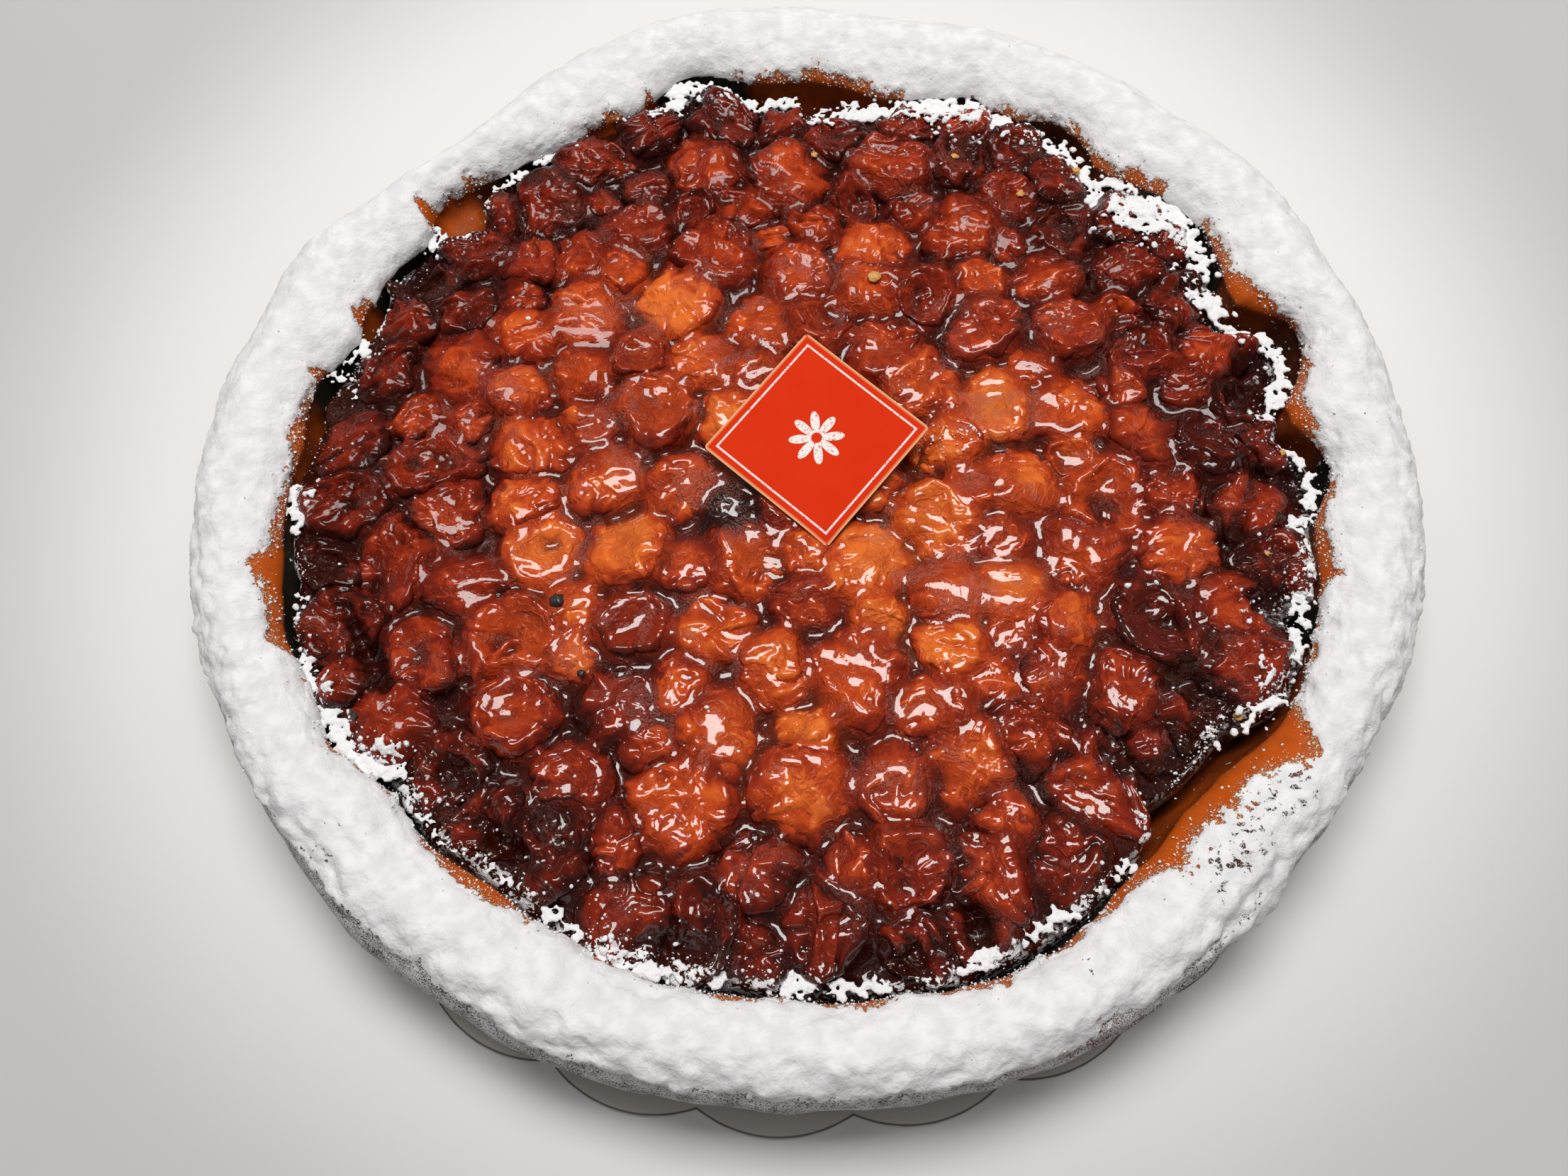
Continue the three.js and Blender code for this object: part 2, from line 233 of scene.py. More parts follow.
# Inner edge of the rim.
LIP = Course((
    (0.7, 111.1), (3.1, 114.1), (5.6, 117.7), (8.6, 120.6), (11.6, 119.4), (13.1, 115.4),
    (15.6, 110.4), (18.1, 110.4), (20.6, 112), (23.1, 113.1), (25.6, 114.8), (28.1, 115.9),
    (31.5, 115.8), (34, 114.3), (35.5, 112.3), (38.5, 111.3), (40.5, 109.4), (43, 108.9),
    (45.5, 112), (47.9, 114), (50.4, 115.1), (52.9, 113.4), (55.4, 110.6), (59.3, 111.6),
    (61.8, 113.7), (63.8, 112.7), (67.2, 110.2), (71.2, 107.2), (74.2, 105.7), (77.6, 107.2),
    (80.1, 108.8), (85, 109.8), (90, 109.8), (92.9, 110.8), (97.4, 115.3), (99.9, 116.3),
    (102.8, 115.3), (105.8, 111.2), (109.7, 108.7), (114.7, 108.6), (119.6, 108.1), (129.5, 110),
    (134.5, 112.4), (138.5, 113.8), (141.5, 110.8), (144.4, 109.2), (148.4, 111.6),
    (152.4, 111.6), (156.4, 110.5), (160.4, 109.4), (163.4, 111.8), (167.4, 114.3),
    (171.4, 114.7), (175.3, 113.6), (179.4, 115), (184.4, 116.1), (189.4, 116.3), (194.4, 117.7),
    (197.4, 119.1), (200.4, 118.4), (204.4, 118.3), (211.5, 119.4), (216.5, 116.8),
    (220.5, 114.7), (224.6, 116.6), (229.6, 116), (234.7, 115.2), (239.7, 116.7), (246.8, 118.5),
    (253.9, 120.1), (261.9, 119.4), (270, 120.4), (277.1, 120.8), (283.2, 121.9), (290.2, 120.9),
    (294.3, 119.4), (297.3, 116.9), (302.4, 115.5), (308.4, 113.9), (313.5, 114.3),
    (317.5, 116.2), (321.5, 118.3), (325.5, 119.2), (331.6, 118.5), (336.6, 117.4),
    (339.6, 116.9), (342.6, 115.2), (345.6, 114.3), (348.6, 116.3), (352.6, 119.3),
    (355.6, 116.5), (358.2, 111.5),
))
# Where the thick sugar begins, outward from the lip.
SUGAR_EDGE = Course((
    (0, 115), (2.5, 116), (5, 119.4), (8, 120.8), (11, 120.3), (13, 119), (15, 117), (17.5, 114.5),
    (20, 113.6), (22.5, 115), (25, 116.5), (27.5, 117.5), (28.5, 112), (33, 112), (34, 116.5),
    (36, 114.5), (38, 115.2), (40, 111.5), (42.5, 111.5), (45, 113), (47.5, 115.5), (51, 115.5),
    (55, 112), (58, 112.5), (60.5, 109), (61.5, 113), (63.5, 112), (64.5, 104), (70, 104),
    (71.5, 108.5), (75, 107.5), (77.5, 109.3), (80, 110.5), (83.5, 113), (86, 110.5), (90, 111.8),
    (93, 111), (95, 113), (98, 114.8), (100.5, 114.8), (102, 108), (105, 109), (106.6, 113.5),
    (107.5, 109.5), (110, 108), (113, 111), (114.5, 108), (116, 109), (117.5, 104), (122, 104.5),
    (123.5, 109), (125, 104.5), (128.5, 108.5), (131, 111.5), (133.5, 114), (135.5, 112.5),
    (137, 115), (138.5, 112.5), (140.4, 117.5), (141.8, 111), (143, 104.5), (147, 107.5),
    (153.5, 108), (155, 112.5), (157, 114), (158.5, 110), (160, 108), (162.5, 107), (164.5, 111),
    (166, 116.4), (168, 115), (170.5, 115.6), (174, 116.8), (177, 115.4), (180, 116.6), (185, 118),
    (188.5, 119.3), (190.5, 123.5), (192.5, 121.5), (196, 121.4), (198.5, 122.5), (200.5, 120.5),
    (202, 117.8), (209, 118.4), (212.8, 120.6), (215, 117.8), (219, 115.8), (223, 115.6),
    (226.5, 117.4), (229.8, 118.4), (233.5, 119.2), (236.5, 118.6), (240, 118.2), (244, 117.4),
    (250, 119.6), (262, 121.3), (264, 120.2), (271, 122), (273, 123), (276, 121.3), (282, 122.8),
    (284.5, 124.8), (287, 122), (291, 122.4), (294, 120.4), (297, 121), (299.5, 119.4),
    (302, 119.6), (303.7, 122), (305, 119.8), (308, 119.4), (311, 120.2), (314, 119.8),
    (316.5, 120.8), (318.5, 124.4), (320.3, 127.2), (321.8, 123.6), (323.2, 122), (325, 119.6),
    (330, 119.4), (334, 118.6), (336.5, 117.5), (339.5, 120.3), (342.5, 118.2), (345, 116.2),
    (348, 117.8), (351, 119.8), (354, 118.3), (357, 116.5),
))
# Outer edge of the fruit.
FRUIT_EDGE = Course((
    (1.3, 110), (4.2, 113.2), (7.2, 114.8), (10.2, 114), (12.2, 110.5), (13.8, 106.5),
    (18.2, 109.2), (20.2, 108.3), (22.2, 111.4), (24.1, 112.5), (27.1, 112.1), (29.1, 116.2),
    (33, 116.4), (34.5, 111.4), (39, 112), (42, 107.5), (46.9, 110.2), (50.8, 111.3),
    (55.7, 109.9), (60.6, 112.6), (62.6, 110.6), (64.5, 112.7), (70.4, 107.2), (72.4, 103.6),
    (76.3, 103.7), (79.2, 102.7), (82.1, 100.7), (85.1, 101.2), (86, 105.2), (88, 106.3),
    (92.9, 105.2), (94.8, 109.3), (97.8, 112.3), (102.7, 113.8), (104.6, 111.7), (106.6, 108.2),
    (109.5, 107.1), (117.3, 107.5), (124.2, 108.3), (129.1, 110.7), (132.1, 107.6), (134, 104.5),
    (136.9, 101.8), (139.9, 101.7), (141.9, 106.2), (144.9, 109.7), (147.9, 111.1), (150.9, 111),
    (152.8, 108.9), (156.7, 106.2), (158.7, 107.6), (161.8, 109.5), (166.7, 110.3),
    (168.8, 112.3), (174.7, 112), (178.8, 113.9), (183.8, 115), (189.8, 115.5), (191.8, 114.4),
    (196.9, 116.5), (202.9, 118), (212, 118.5), (218.1, 114.2), (223.1, 114.7), (227.2, 115.9),
    (231.3, 114.5), (235.3, 114.9), (239.4, 116.5), (246.6, 118.2), (254.7, 119.1),
    (261.9, 118.4), (270, 119.4), (282.3, 120.9), (286.4, 119.8), (293.5, 118.4), (296.6, 116.9),
    (300.6, 115.9), (302.7, 114), (304.8, 110.5), (306.8, 108), (310.9, 109.6), (319, 109.9),
    (321, 112.5), (324, 116.6), (327, 118.4), (331.1, 117.7), (333.1, 113.9), (335.1, 113),
    (337.1, 116.1), (341.2, 116.3), (345.2, 114.4), (349.2, 116.2), (352.2, 116), (354.2, 113.8),
    (356.3, 107.8), (359.3, 109.9),
))
# Width of the band of sugar dust on the fruit's edge.
DUST_WIDTH = Course((
    (0, 4), (15, 5), (24, 8), (28, 13), (34, 14), (38, 9), (45, 5), (56, 7), (60, 10), (69, 8),
    (76, 3), (90, 4), (100, 7), (106, 5), (112, 1), (128, 1), (144, 4), (154, 2), (163, 6),
    (172, 2), (184, 5), (192, 3), (199, 4), (208, 4.5), (217, 8), (228, 6), (240, 6), (250, 7),
    (262, 6), (272, 6), (282, 5), (290, 6), (299, 5), (305, 2), (313, 3), (320, 6), (328, 7),
    (338, 8), (345, 7), (352, 7), (357, 4),
))
# How dark the inner wall under the lip is, from 0, golden, to 1: toasting, and painted shade in the
# gaps between crust and fruit.
WALL_BAKE_AND_SHADE = Course((
    (0, 0.3), (2, 0.4), (5, 0.6), (11, 0.6), (13, 0.35), (19, 0.4), (21, 0.9), (27, 1), (30, 0.8),
    (33, 1), (36, 0.9), (37, 0.4), (41, 0.4), (43, 0.6), (54, 0.62), (56, 0.4), (59, 0.4),
    (61, 1), (63.5, 1), (65, 0.5), (70, 0.3), (77, 0.2), (92, 0.22),
    (94, 0.95), (101.5, 1), (103, 0.5), (107, 0.15), (116, 0.15), (118, 0.8), (128, 1),
    (132.5, 0.5), (135, 0.12), (140, 0.12), (143, 0.8), (153, 0.9), (155, 0.2), (159, 0.25),
    (161, 0.9), (168, 0.9), (171, 0.25), (179, 0.25), (182, 0.7), (200, 0.9), (226, 0.9),
    (229, 0.5), (239, 0.55), (243, 0.9), (299, 0.9), (303, 0.3), (311, 0.15), (319, 0.3),
    (325, 0.35), (331, 0.3), (333, 0.9), (336, 0.8), (338, 0.35), (343, 0.35), (346, 0.8),
    (353, 0.9), (356, 0.35),
))
# Height down to which the outer side of the rim carries thick sugar.
SIDE_SUGAR_Z = Course((
    (0, 13), (90, 9), (185, 15), (198, 24), (203, 28.6), (209, 28.4), (213, 27.4), (219, 29.2),
    (228, 30), (240, 29.8), (246, 29), (270, 28.8), (281, 28.6), (286, 28.4), (291, 29.6),
    (298, 29.8), (302, 28.5), (304, 24), (309, 24), (311.5, 27.6), (322, 27.6), (327, 26),
    (335, 23), (350, 15),
))
# Hollows in the fruit: azimuth, radius, half width along and across in mm, depth in mm.
HOLLOWS = (
    (5.6, 107, 7, 4, 7), (148.1, 107.1, 6, 4.5, 8), (14, 108, 3, 5, 7), (19.5, 104.2, 8, 2.5, 4),
    (334.9, 110.1, 3, 6, 8), (351, 111.9, 4.5, 2.5, 6), (313.1, 107.1, 9, 3, 7),
    (163.5, 112, 3.5, 6, 5), (88, 103, 2.5, 2.5, 5), (101.1, 106, 2.5, 3.5, 5),
    (284.4, 112.5, 2.5, 7, 6), (122.1, 110.6, 8, 2, 4), (320.3, 103.3, 3, 6, 5),
    (203.6, 104.9, 12, 2, 4), (233.1, 107.8, 10, 2, 4), (276.2, 114.5, 9, 2.5, 4),
    (254.7, 113.5, 10, 2.5, 3.5), (191.5, 107.5, 4, 6, 4), (3.2, 100.3, 4, 2.5, 4),
    (341.7, 97.1, 4, 2, 4), (307.1, 98.8, 3, 6, 4), (223.9, 103, 5, 3, 4),
)

SYRUP_Z = 24.2
FLOOR_Z = 7.1
LABEL_SIDE = 35.6
LABEL_THICKNESS = 0.6
LABEL_MIDDLE = (4.3, -1.9, 30.9)  # of its underside
LABEL_TILT = 10.0
LABEL_TURN = 46.0
LABEL_MARGIN = 0.6  # how far round the label the fruit is pressed flat


def hollow(points: Array) -> Array:
    """How far the fruit is sunk at some points, in mm."""
    azimuth, reach = azimuth_of(points), reach_of(points)
    depth = np.zeros(len(points))
    for middle, radius, along, across, deepest in HOLLOWS:
        beside = np.radians(apart(azimuth, middle)) * radius / along
        away = (reach - radius) / across
        depth += deepest * np.exp(-(beside**2) - away**2)
    return depth


def under_label(points: Array) -> Array:
    """Height of the label's underside over some points, and infinity outside the label."""
    turn = math.radians(LABEL_TURN)
    x = points[:, 0] - LABEL_MIDDLE[0]
    y = (points[:, 1] - LABEL_MIDDLE[1]) / math.cos(math.radians(LABEL_TILT))
    along = np.abs(x * math.cos(turn) + y * math.sin(turn))
    across = np.abs(y * math.cos(turn) - x * math.sin(turn))
    slope = math.tan(math.radians(LABEL_TILT))
    height = LABEL_MIDDLE[2] + slope * (points[:, 1] - LABEL_MIDDLE[1])
    beneath = np.maximum(along, across) < LABEL_SIDE / 2 + LABEL_MARGIN
    return np.where(beneath, height, np.inf)


@dataclass
class Folds:
    """Creases and swells that run on over the fruit, from cherry to cherry."""

    wide_size: float = 9.0
    wide_height: float = 0.95
    close_size: float = 4.4
    close_height: float = 0.36
    usual: float = 0.42  # mean height of the noise's ridges
    grain: Grain = field(default_factory=lambda: Grain(17))

    def swirled(self, points: Array, size: float, far: float) -> Array:
        """Points in the plane, drawn about by slow noise."""
        flat = points * (1, 1, 0)
        return flat + far * self.grain.drift(flat, size)

    def shifted(self, points: Array) -> Array:
        """The points with their places in the plane wandered, so that no outline is round."""
        wander = self.swirled(points, 11.0, 1.5) + self.swirled(points + 30, 4.5, 0.5)
        moved = points.copy()
        moved[:, :2] = (wander - (30, 30, 0))[:, :2] - points[:, :2]
        return moved

    def height(self, points: Array) -> Array:
        """Height of the folds in mm, about zero on the whole."""
        drawn = self.swirled(points, 13.0, 3.5)
        wide = self.grain.ridges(drawn * (1, 1.5, 1), self.wide_size) - self.usual
        close = self.grain.ridges(drawn * (0.7, 1.4, 1) + 90, self.close_size) - self.usual
        return self.wide_height * wide + self.close_height * close


# ---- meshes ----
def deselect_all() -> None:
    """Deselects every object, so that the next operator acts on the new one alone."""
    bpy.ops.object.select_all(action="DESELECT")


def select_only(piece: Piece) -> None:
    """Makes one object the only selected one and the active one."""
    deselect_all()
    piece.select_set(True)
    bpy.context.view_layer.objects.active = piece


def added(name: str) -> Piece:
    """The primitive that was just added, renamed."""
    piece = bpy.context.active_object
    piece.name = piece.data.name = name
    return piece


def ball(name: str, radius: float, level: int) -> Piece:
    """A ball of triangles, of a radius in mm and a level of subdivision."""
    deselect_all()
    bpy.ops.mesh.primitive_ico_sphere_add(subdivisions=level, radius=radius * MM)
    return added(name)


def points_of(piece: Piece) -> Array:
    """A mesh object's points in millimetres."""
    flat = np.empty(3 * len(piece.data.vertices), np.float32)
    piece.data.vertices.foreach_get("co", flat)
    return flat.reshape(-1, 3).astype(float) / MM


def move_points(piece: Piece, points: Array) -> None:
    """Puts a mesh object's points at new places, in millimetres."""
    piece.data.vertices.foreach_set("co", (points * MM).astype(np.float32).ravel())
    piece.data.update()


def paint_points(piece: Piece, name: str, values: Array) -> None:
    """Stores one number for each point of a mesh, for its material to read."""
    layers = piece.data.attributes
    layer = layers.get(name) or layers.new(name, "FLOAT", "POINT")
    layer.data.foreach_set("value", np.asarray(values, np.float32))


def read_points(piece: Piece, name: str) -> Array:
    """The numbers that are stored at a mesh's points under a name."""
    values = np.empty(len(piece.data.vertices), np.float32)
    piece.data.attributes[name].data.foreach_get("value", values)
    return values.astype(float)


def apply_modifier(piece: Piece, kind: str, **settings: object) -> None:
    """Adds a modifier to a piece and applies it.

    Args:
        piece: the mesh object.
        kind: the modifier's type.
        settings: its properties.
    """
    select_only(piece)
    modifier = piece.modifiers.new(kind.title(), kind)
    for key, value in settings.items():
        setattr(modifier, key, value)
    bpy.ops.object.modifier_apply(modifier=modifier.name)


def roughen(piece: Piece, size: float, height: float) -> None:
    """Moves a piece's surface in and out in soft lumps.

    Args:
        piece: the mesh object.
        size: width of a lump in mm.
        height: height of the lumps in mm.
    """
    texture = bpy.data.textures.new("lumps", "CLOUDS")
    texture.noise_scale = size * MM
    texture.noise_depth = 1
    apply_modifier(
        piece, "DISPLACE", texture=texture, texture_coords="LOCAL", strength=2 * height * MM,
        mid_level=0.5,
    )
    bpy.data.textures.remove(texture)


def smooth_outward(piece: Piece) -> None:
    """Turns a closed mesh's faces outward and shades it smooth."""
    select_only(piece)
    bpy.ops.object.mode_set(mode="EDIT")
    bpy.ops.mesh.select_all(action="SELECT")
    bpy.ops.mesh.normals_make_consistent(inside=False)
    bpy.ops.object.mode_set(mode="OBJECT")
    bpy.ops.object.shade_smooth()


def joined(pieces: list[Piece], name: str) -> Piece:
    """Joins objects into one piece of a new name."""
    select_only(pieces[0])
    for piece in pieces[1:]:
        piece.select_set(True)
    if len(pieces) > 1:
        bpy.ops.object.join()
    pieces[0].name = pieces[0].data.name = name
    return pieces[0]


def settle_piece(
    piece: Piece, slot: str, material: Material, *replaced: str
) -> None:
    """Dresses a finished piece, lets it ride on the pie and reports it.

    Args:
        piece: the mesh object, with its place in its mesh.
        slot: name of the piece's material slot; not used.
        material: its finish.
        replaced: the CAD nodes that it stands for.
    """
    piece.data.materials.clear()
    piece.data.materials.append(material)
    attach(piece, "root")
    if replaced:
        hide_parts(*replaced)
    piece.data.calc_loop_triangles()
    LOG.info("%s: %d triangles", piece.name, len(piece.data.loop_triangles))


def disc_master(name: str, cells: int) -> tuple[Piece, Array]:
    """A square grid wrapped onto a round outline and closed underneath.

    Args:
        name: name of the object.
        cells: squares along one side.

    Returns:
        The object, and its points as x and y on a disc of radius 1; the point that closes the
        underside comes last, with a reach of 2.
    """
    deselect_all()
    bpy.ops.mesh.primitive_grid_add(x_subdivisions=cells, y_subdivisions=cells, size=2 * MM)
    piece = added(name)
    bpy.ops.object.mode_set(mode="EDIT")
    bpy.ops.mesh.select_all(action="SELECT")
    bpy.ops.mesh.region_to_loop()
    bpy.ops.mesh.edge_face_add()
    bpy.ops.mesh.poke()
    bpy.ops.object.mode_set(mode="OBJECT")
    bpy.ops.object.shade_smooth()
    square = points_of(piece)
    a, b = square[:, 0], square[:, 1]
    wide = np.abs(a) > np.abs(b)
    reach = np.where(wide, a, b)
    with np.errstate(divide="ignore", invalid="ignore"):
        angle = np.where(wide, math.pi / 4 * b / a, math.pi / 2 - math.pi / 4 * a / b)
    angle = np.nan_to_num(angle)
    disc = np.stack([reach * np.cos(angle), reach * np.sin(angle)], axis=1)
    disc[-1] = (2, 0)
    return piece, disc


def copy_of(master: Piece, name: str) -> Piece:
    """A copy of an object with a mesh of its own."""
    piece = master.copy()
    piece.data = master.data.copy()
    piece.name = piece.data.name = name
    bpy.context.scene.collection.objects.link(piece)
    return piece


def strewn(
    master: Piece, name: str, places: Array, sizes: Array, seed: int
) -> Piece:
    """Many small copies of one shape as a single mesh, each turned its own way.

    Args:
        master: the shape, about 1 mm across and centred on the origin.
        name: name of the new piece.
        places: where the copies go, in mm.
        sizes: their diameters in mm.
        seed: start of the random turns.

    Returns:
        The new object. The master is removed.
    """
    shape = points_of(master)
    faces = np.array([polygon.vertices[:] for polygon in master.data.polygons])
    draw = np.random.default_rng(seed)
    spin = draw.normal(size=(len(places), 4))
    w, x, y, z = (spin / np.linalg.norm(spin, axis=1)[:, None]).T
    turns = np.stack([
        1 - 2 * (y * y + z * z), 2 * (x * y - w * z), 2 * (x * z + w * y),
        2 * (x * y + w * z), 1 - 2 * (x * x + z * z), 2 * (y * z - w * x),
        2 * (x * z - w * y), 2 * (y * z + w * x), 1 - 2 * (x * x + y * y),
    ], axis=1).reshape(-1, 3, 3)
    stretch = draw.uniform(0.7, 1.3, size=(len(places), 1, 3))
    points = np.einsum("nij,npj->npi", turns, shape[None] * stretch)
    points = points * sizes[:, None, None] + places[:, None, :]
    starts = len(shape) * np.arange(len(places))[:, None, None]
    mesh = bpy.data.meshes.new(name)
    mesh.from_pydata(points.reshape(-1, 3) * MM, [], (faces[None] + starts).reshape(-1, 3))
    mesh.polygons.foreach_set("use_smooth", np.ones(len(mesh.polygons), bool))
    piece = bpy.data.objects.new(name, mesh)
    bpy.context.scene.collection.objects.link(piece)
    bpy.data.objects.remove(master)
    return piece


# ---- finishes ----
class Wire:
    """An output of a shader node that takes part in sums, products and quotients."""

    def __init__(self, paint: "Paint", socket: bpy.types.NodeSocket) -> None:
        """Wraps a socket of a finish's node tree."""
        self.paint = paint
        self.socket = socket

    def __add__(self, other: "Wire | float") -> "Wire":
        """This plus the other."""
        return self.paint.maths("ADD", self, other)

    def __sub__(self, other: "Wire | float") -> "Wire":
        """This less the other."""
        return self.paint.maths("SUBTRACT", self, other)

    def __rsub__(self, other: float) -> "Wire":
        """The other less this."""
        return self.paint.maths("SUBTRACT", other, self)

    def __mul__(self, other: "Wire | float") -> "Wire":
        """This times the other."""
        return self.paint.maths("MULTIPLY", self, other)

    def __truediv__(self, other: "Wire | float") -> "Wire":
        """This divided by the other."""
        return self.paint.maths("DIVIDE", self, other)

    __radd__ = __add__
    __rmul__ = __mul__

    def rise(self, low: float, high: float) -> "Wire":
        """0 below low and 1 above high, with a smooth rise between them."""
        inputs = {"Value": self, "From Min": low, "From Max": high}
        return self.paint.node("ShaderNodeMapRange", {"interpolation_type": "SMOOTHSTEP"}, inputs)


class Paint:
    """A procedural material in the making: one Principled shader and the nodes that feed it."""

    crest_sharpness = 200.0

    def __init__(self, name: str, **sockets: float | Colour | Vector) -> None:
        """Makes the material.

        Args:
            name: the material's name.
            sockets: values of the shader's sockets, with _ for a space in their names.
        """
        self.material = bpy.data.materials.new(name)
        self.material.use_nodes = True
        self.tree = self.material.node_tree
        self.shader = self.tree.nodes["Principled BSDF"]
        self.where = self.node("ShaderNodeTexCoord", output="Object")
        self.set(**sockets)

    def set(self, **sockets: "Wire | float | Colour") -> None:
        """Sets or feeds the shader's sockets, named with _ for a space."""
        for name, value in sockets.items():
            self._feed(self.shader.inputs[name.replace("_", " ")], value)

    def _feed(self, socket: bpy.types.NodeSocket, value: "Wire | float | Colour") -> None:
        """Links a wire to a socket, or sets the socket's value."""
        if isinstance(value, Wire):
            self.tree.links.new(value.socket, socket)
        else:
            socket.default_value = value

    def node(
        self, kind: str, settings: dict | None = None, inputs: dict | None = None,
        output: int | str = 0,
    ) -> Wire:
        """Adds one node.

        Args:
            kind: the node's type.
            settings: its properties; "stops" are a ramp's places and colours.
            inputs: values or wires of its sockets, by name or number.
            output: the output that is used.

        Returns:
            That output.
        """
        made = self.tree.nodes.new(kind)
        for key, value in (settings or {}).items():
            if key == "stops":
                for _ in value[2:]:
                    made.color_ramp.elements.new(0.5)
                for stop, (place, colour) in zip(made.color_ramp.elements, value):
                    stop.position, stop.color = place, colour
            else:
                setattr(made, key, value)
        for key, value in (inputs or {}).items():
            self._feed(made.inputs[key], value)
        return Wire(self, made.outputs[output])

    def maths(self, operation: str, *operands: "Wire | float") -> Wire:
        """One Math node."""
        inputs = dict(enumerate(operands))
        return self.node("ShaderNodeMath", {"operation": operation}, inputs)

    def mix(self, share: "Wire | float", first: "Wire | Colour", second: "Wire | Colour") -> Wire:
        """The second colour laid over the first by a share."""
        inputs = {0: share, 6: first, 7: second}
        return self.node("ShaderNodeMix", {"data_type": "RGBA"}, inputs, output=2)

    def noise(self, size: float, detail: float = 2.0, twist: float = 0.0) -> Wire:
        """Noise from 0 to 1 over the piece, with swells of a size in mm."""
        inputs = {"Vector": self.where, "Scale": 1 / (size * MM), "Detail": detail,
                  "Distortion": twist}
        return self.node("ShaderNodeTexNoise", {}, inputs)

    def creases(self, size: float, twist: float = 0.0) -> Wire:
        """Winding crests from 0 to 1 with hollows between them, of a size in mm."""
        swell = self.noise(size, 0.6, twist) - 0.5
        return self.maths("EXPONENT", swell * swell * -self.crest_sharpness)

    def glitter(self) -> Wire:
        """Fine specks from 0 to 1 in ragged patches, where sugar dried on the surface; where they
        lighten a colour, that is painted sheen as well.
        """
        patch = self.noise(11.0, 4, 0.6).rise(0.54, 0.62)
        return patch * self.noise(0.36, 1).rise(0.42, 0.62)

    def part(self, vector: Wire, axis: int) -> Wire:
        """The x, y or z of a vector."""
        return self.node("ShaderNodeSeparateXYZ", {}, {0: vector}, axis)

    def mark(self, name: str) -> Wire:
        """A number that is stored at the mesh's points."""
        return self.node("ShaderNodeAttribute", {"attribute_name": name}, output="Fac")

    def ramp(self, share: Wire, *stops: tuple[float, Colour]) -> Wire:
        """A colour that runs through stops."""
        return self.node("ShaderNodeValToRGB", {"stops": stops}, {"Fac": share})

    def bump(self, height: Wire, depth: float) -> None:
        """Raises the surface by a height from 0 to 1 times a depth in mm."""
        inputs = {"Height": height, "Distance": depth * MM}
        self.set(Normal=self.node("ShaderNodeBump", {}, inputs))


def rgb(red: float, green: float, blue: float) -> Colour:
    """An opaque colour from linear values."""
    return (red, green, blue, 1.0)


SUGAR_WHITE = rgb(0.86, 0.852, 0.86)
SUGAR_SHADE = rgb(0.75, 0.74, 0.752)


@dataclass(frozen=True)
class SugaredPastry:
    """Baked pastry under powdered sugar that the points' marks place."""

    golden: Colour = rgb(0.5, 0.082, 0.005)
    toasted: Colour = rgb(0.2, 0.034, 0.005)
    # Also the painted shade deep in the gaps under the lip.
    burnt: Colour = rgb(0.02, 0.0165, 0.011)
    cream: Colour = rgb(0.85, 0.68, 0.46)
    speck_size: float = 0.3
    fine_size: float = 1.3
    coarse_size: float = 4.0
    dusting: float = 0.85  # how white the thin sugar is at most
    lump_size: float = 2.2
    clump_size: float = 0.9
    clump_height: float = 0.55

    def material(self) -> Material:
        """Makes the material."""
        paint = Paint("sugared_pastry", Specular_IOR_Level=0.15)
        cover, toast, thin = paint.mark("cover"), paint.mark("toast"), paint.mark("thin")
        fine = paint.noise(self.fine_size, 7)
        coarse = paint.noise(self.coarse_size, 3)
        speck = paint.noise(self.speck_size, 3)
        # The toast mark's browns include painted shade on the inner wall.
        baked_and_shaded = paint.ramp(
            toast + (coarse - 0.5) * 0.5 + (fine - 0.5) * 0.3,
            (0.0, self.golden), (0.42, self.toasted), (0.9, self.burnt),
        )
        thick = (cover + (fine - 0.5) * 2.3 + (coarse - 0.5) * 0.9).rise(0.42, 0.52)
        dusty = (thin + (speck - 0.5) * 2.0 + (coarse - 0.5) * 0.6).rise(0.42, 0.6)
        white = paint.mix(coarse.rise(0.35, 0.7), SUGAR_SHADE, SUGAR_WHITE)
        white = paint.mix(paint.maths("MAXIMUM", thick, toast.rise(0.15, 0.5)), self.cream, white)
        share = paint.maths("MAXIMUM", thick, dusty * self.dusting)
        paint.set(Base_Color=paint.mix(share, baked_and_shaded, white), Roughness=0.5 + share * 0.42)
        clumps = paint.noise(self.lump_size, 3) * 0.65 + paint.noise(self.clump_size, 3) * 0.35
        paint.bump(clumps * (0.2 + share * 0.8), self.clump_height)
        return paint.material


@dataclass(frozen=True)
class LooseSugar:
    """Powdered sugar in clumps, with no pastry under it."""

    tint: Colour = rgb(0.72, 0.62, 0.5)
    stain_size: float = 3.0
    clump_size: float = 0.6
    clump_height: float = 0.3

    def material(self) -> Material:
        """Makes the material."""
        paint = Paint("loose_sugar", Roughness=0.92, Specular_IOR_Level=0.3)
        stain = paint.noise(self.stain_size, 3).rise(0.66, 0.8)
        stain = stain * paint.noise(0.8, 2).rise(0.4, 0.6)
        paint.set(Base_Color=paint.mix(stain * 0.6, SUGAR_WHITE, self.tint))
        paint.bump(paint.noise(self.clump_size, 3), self.clump_height)
        return paint.material


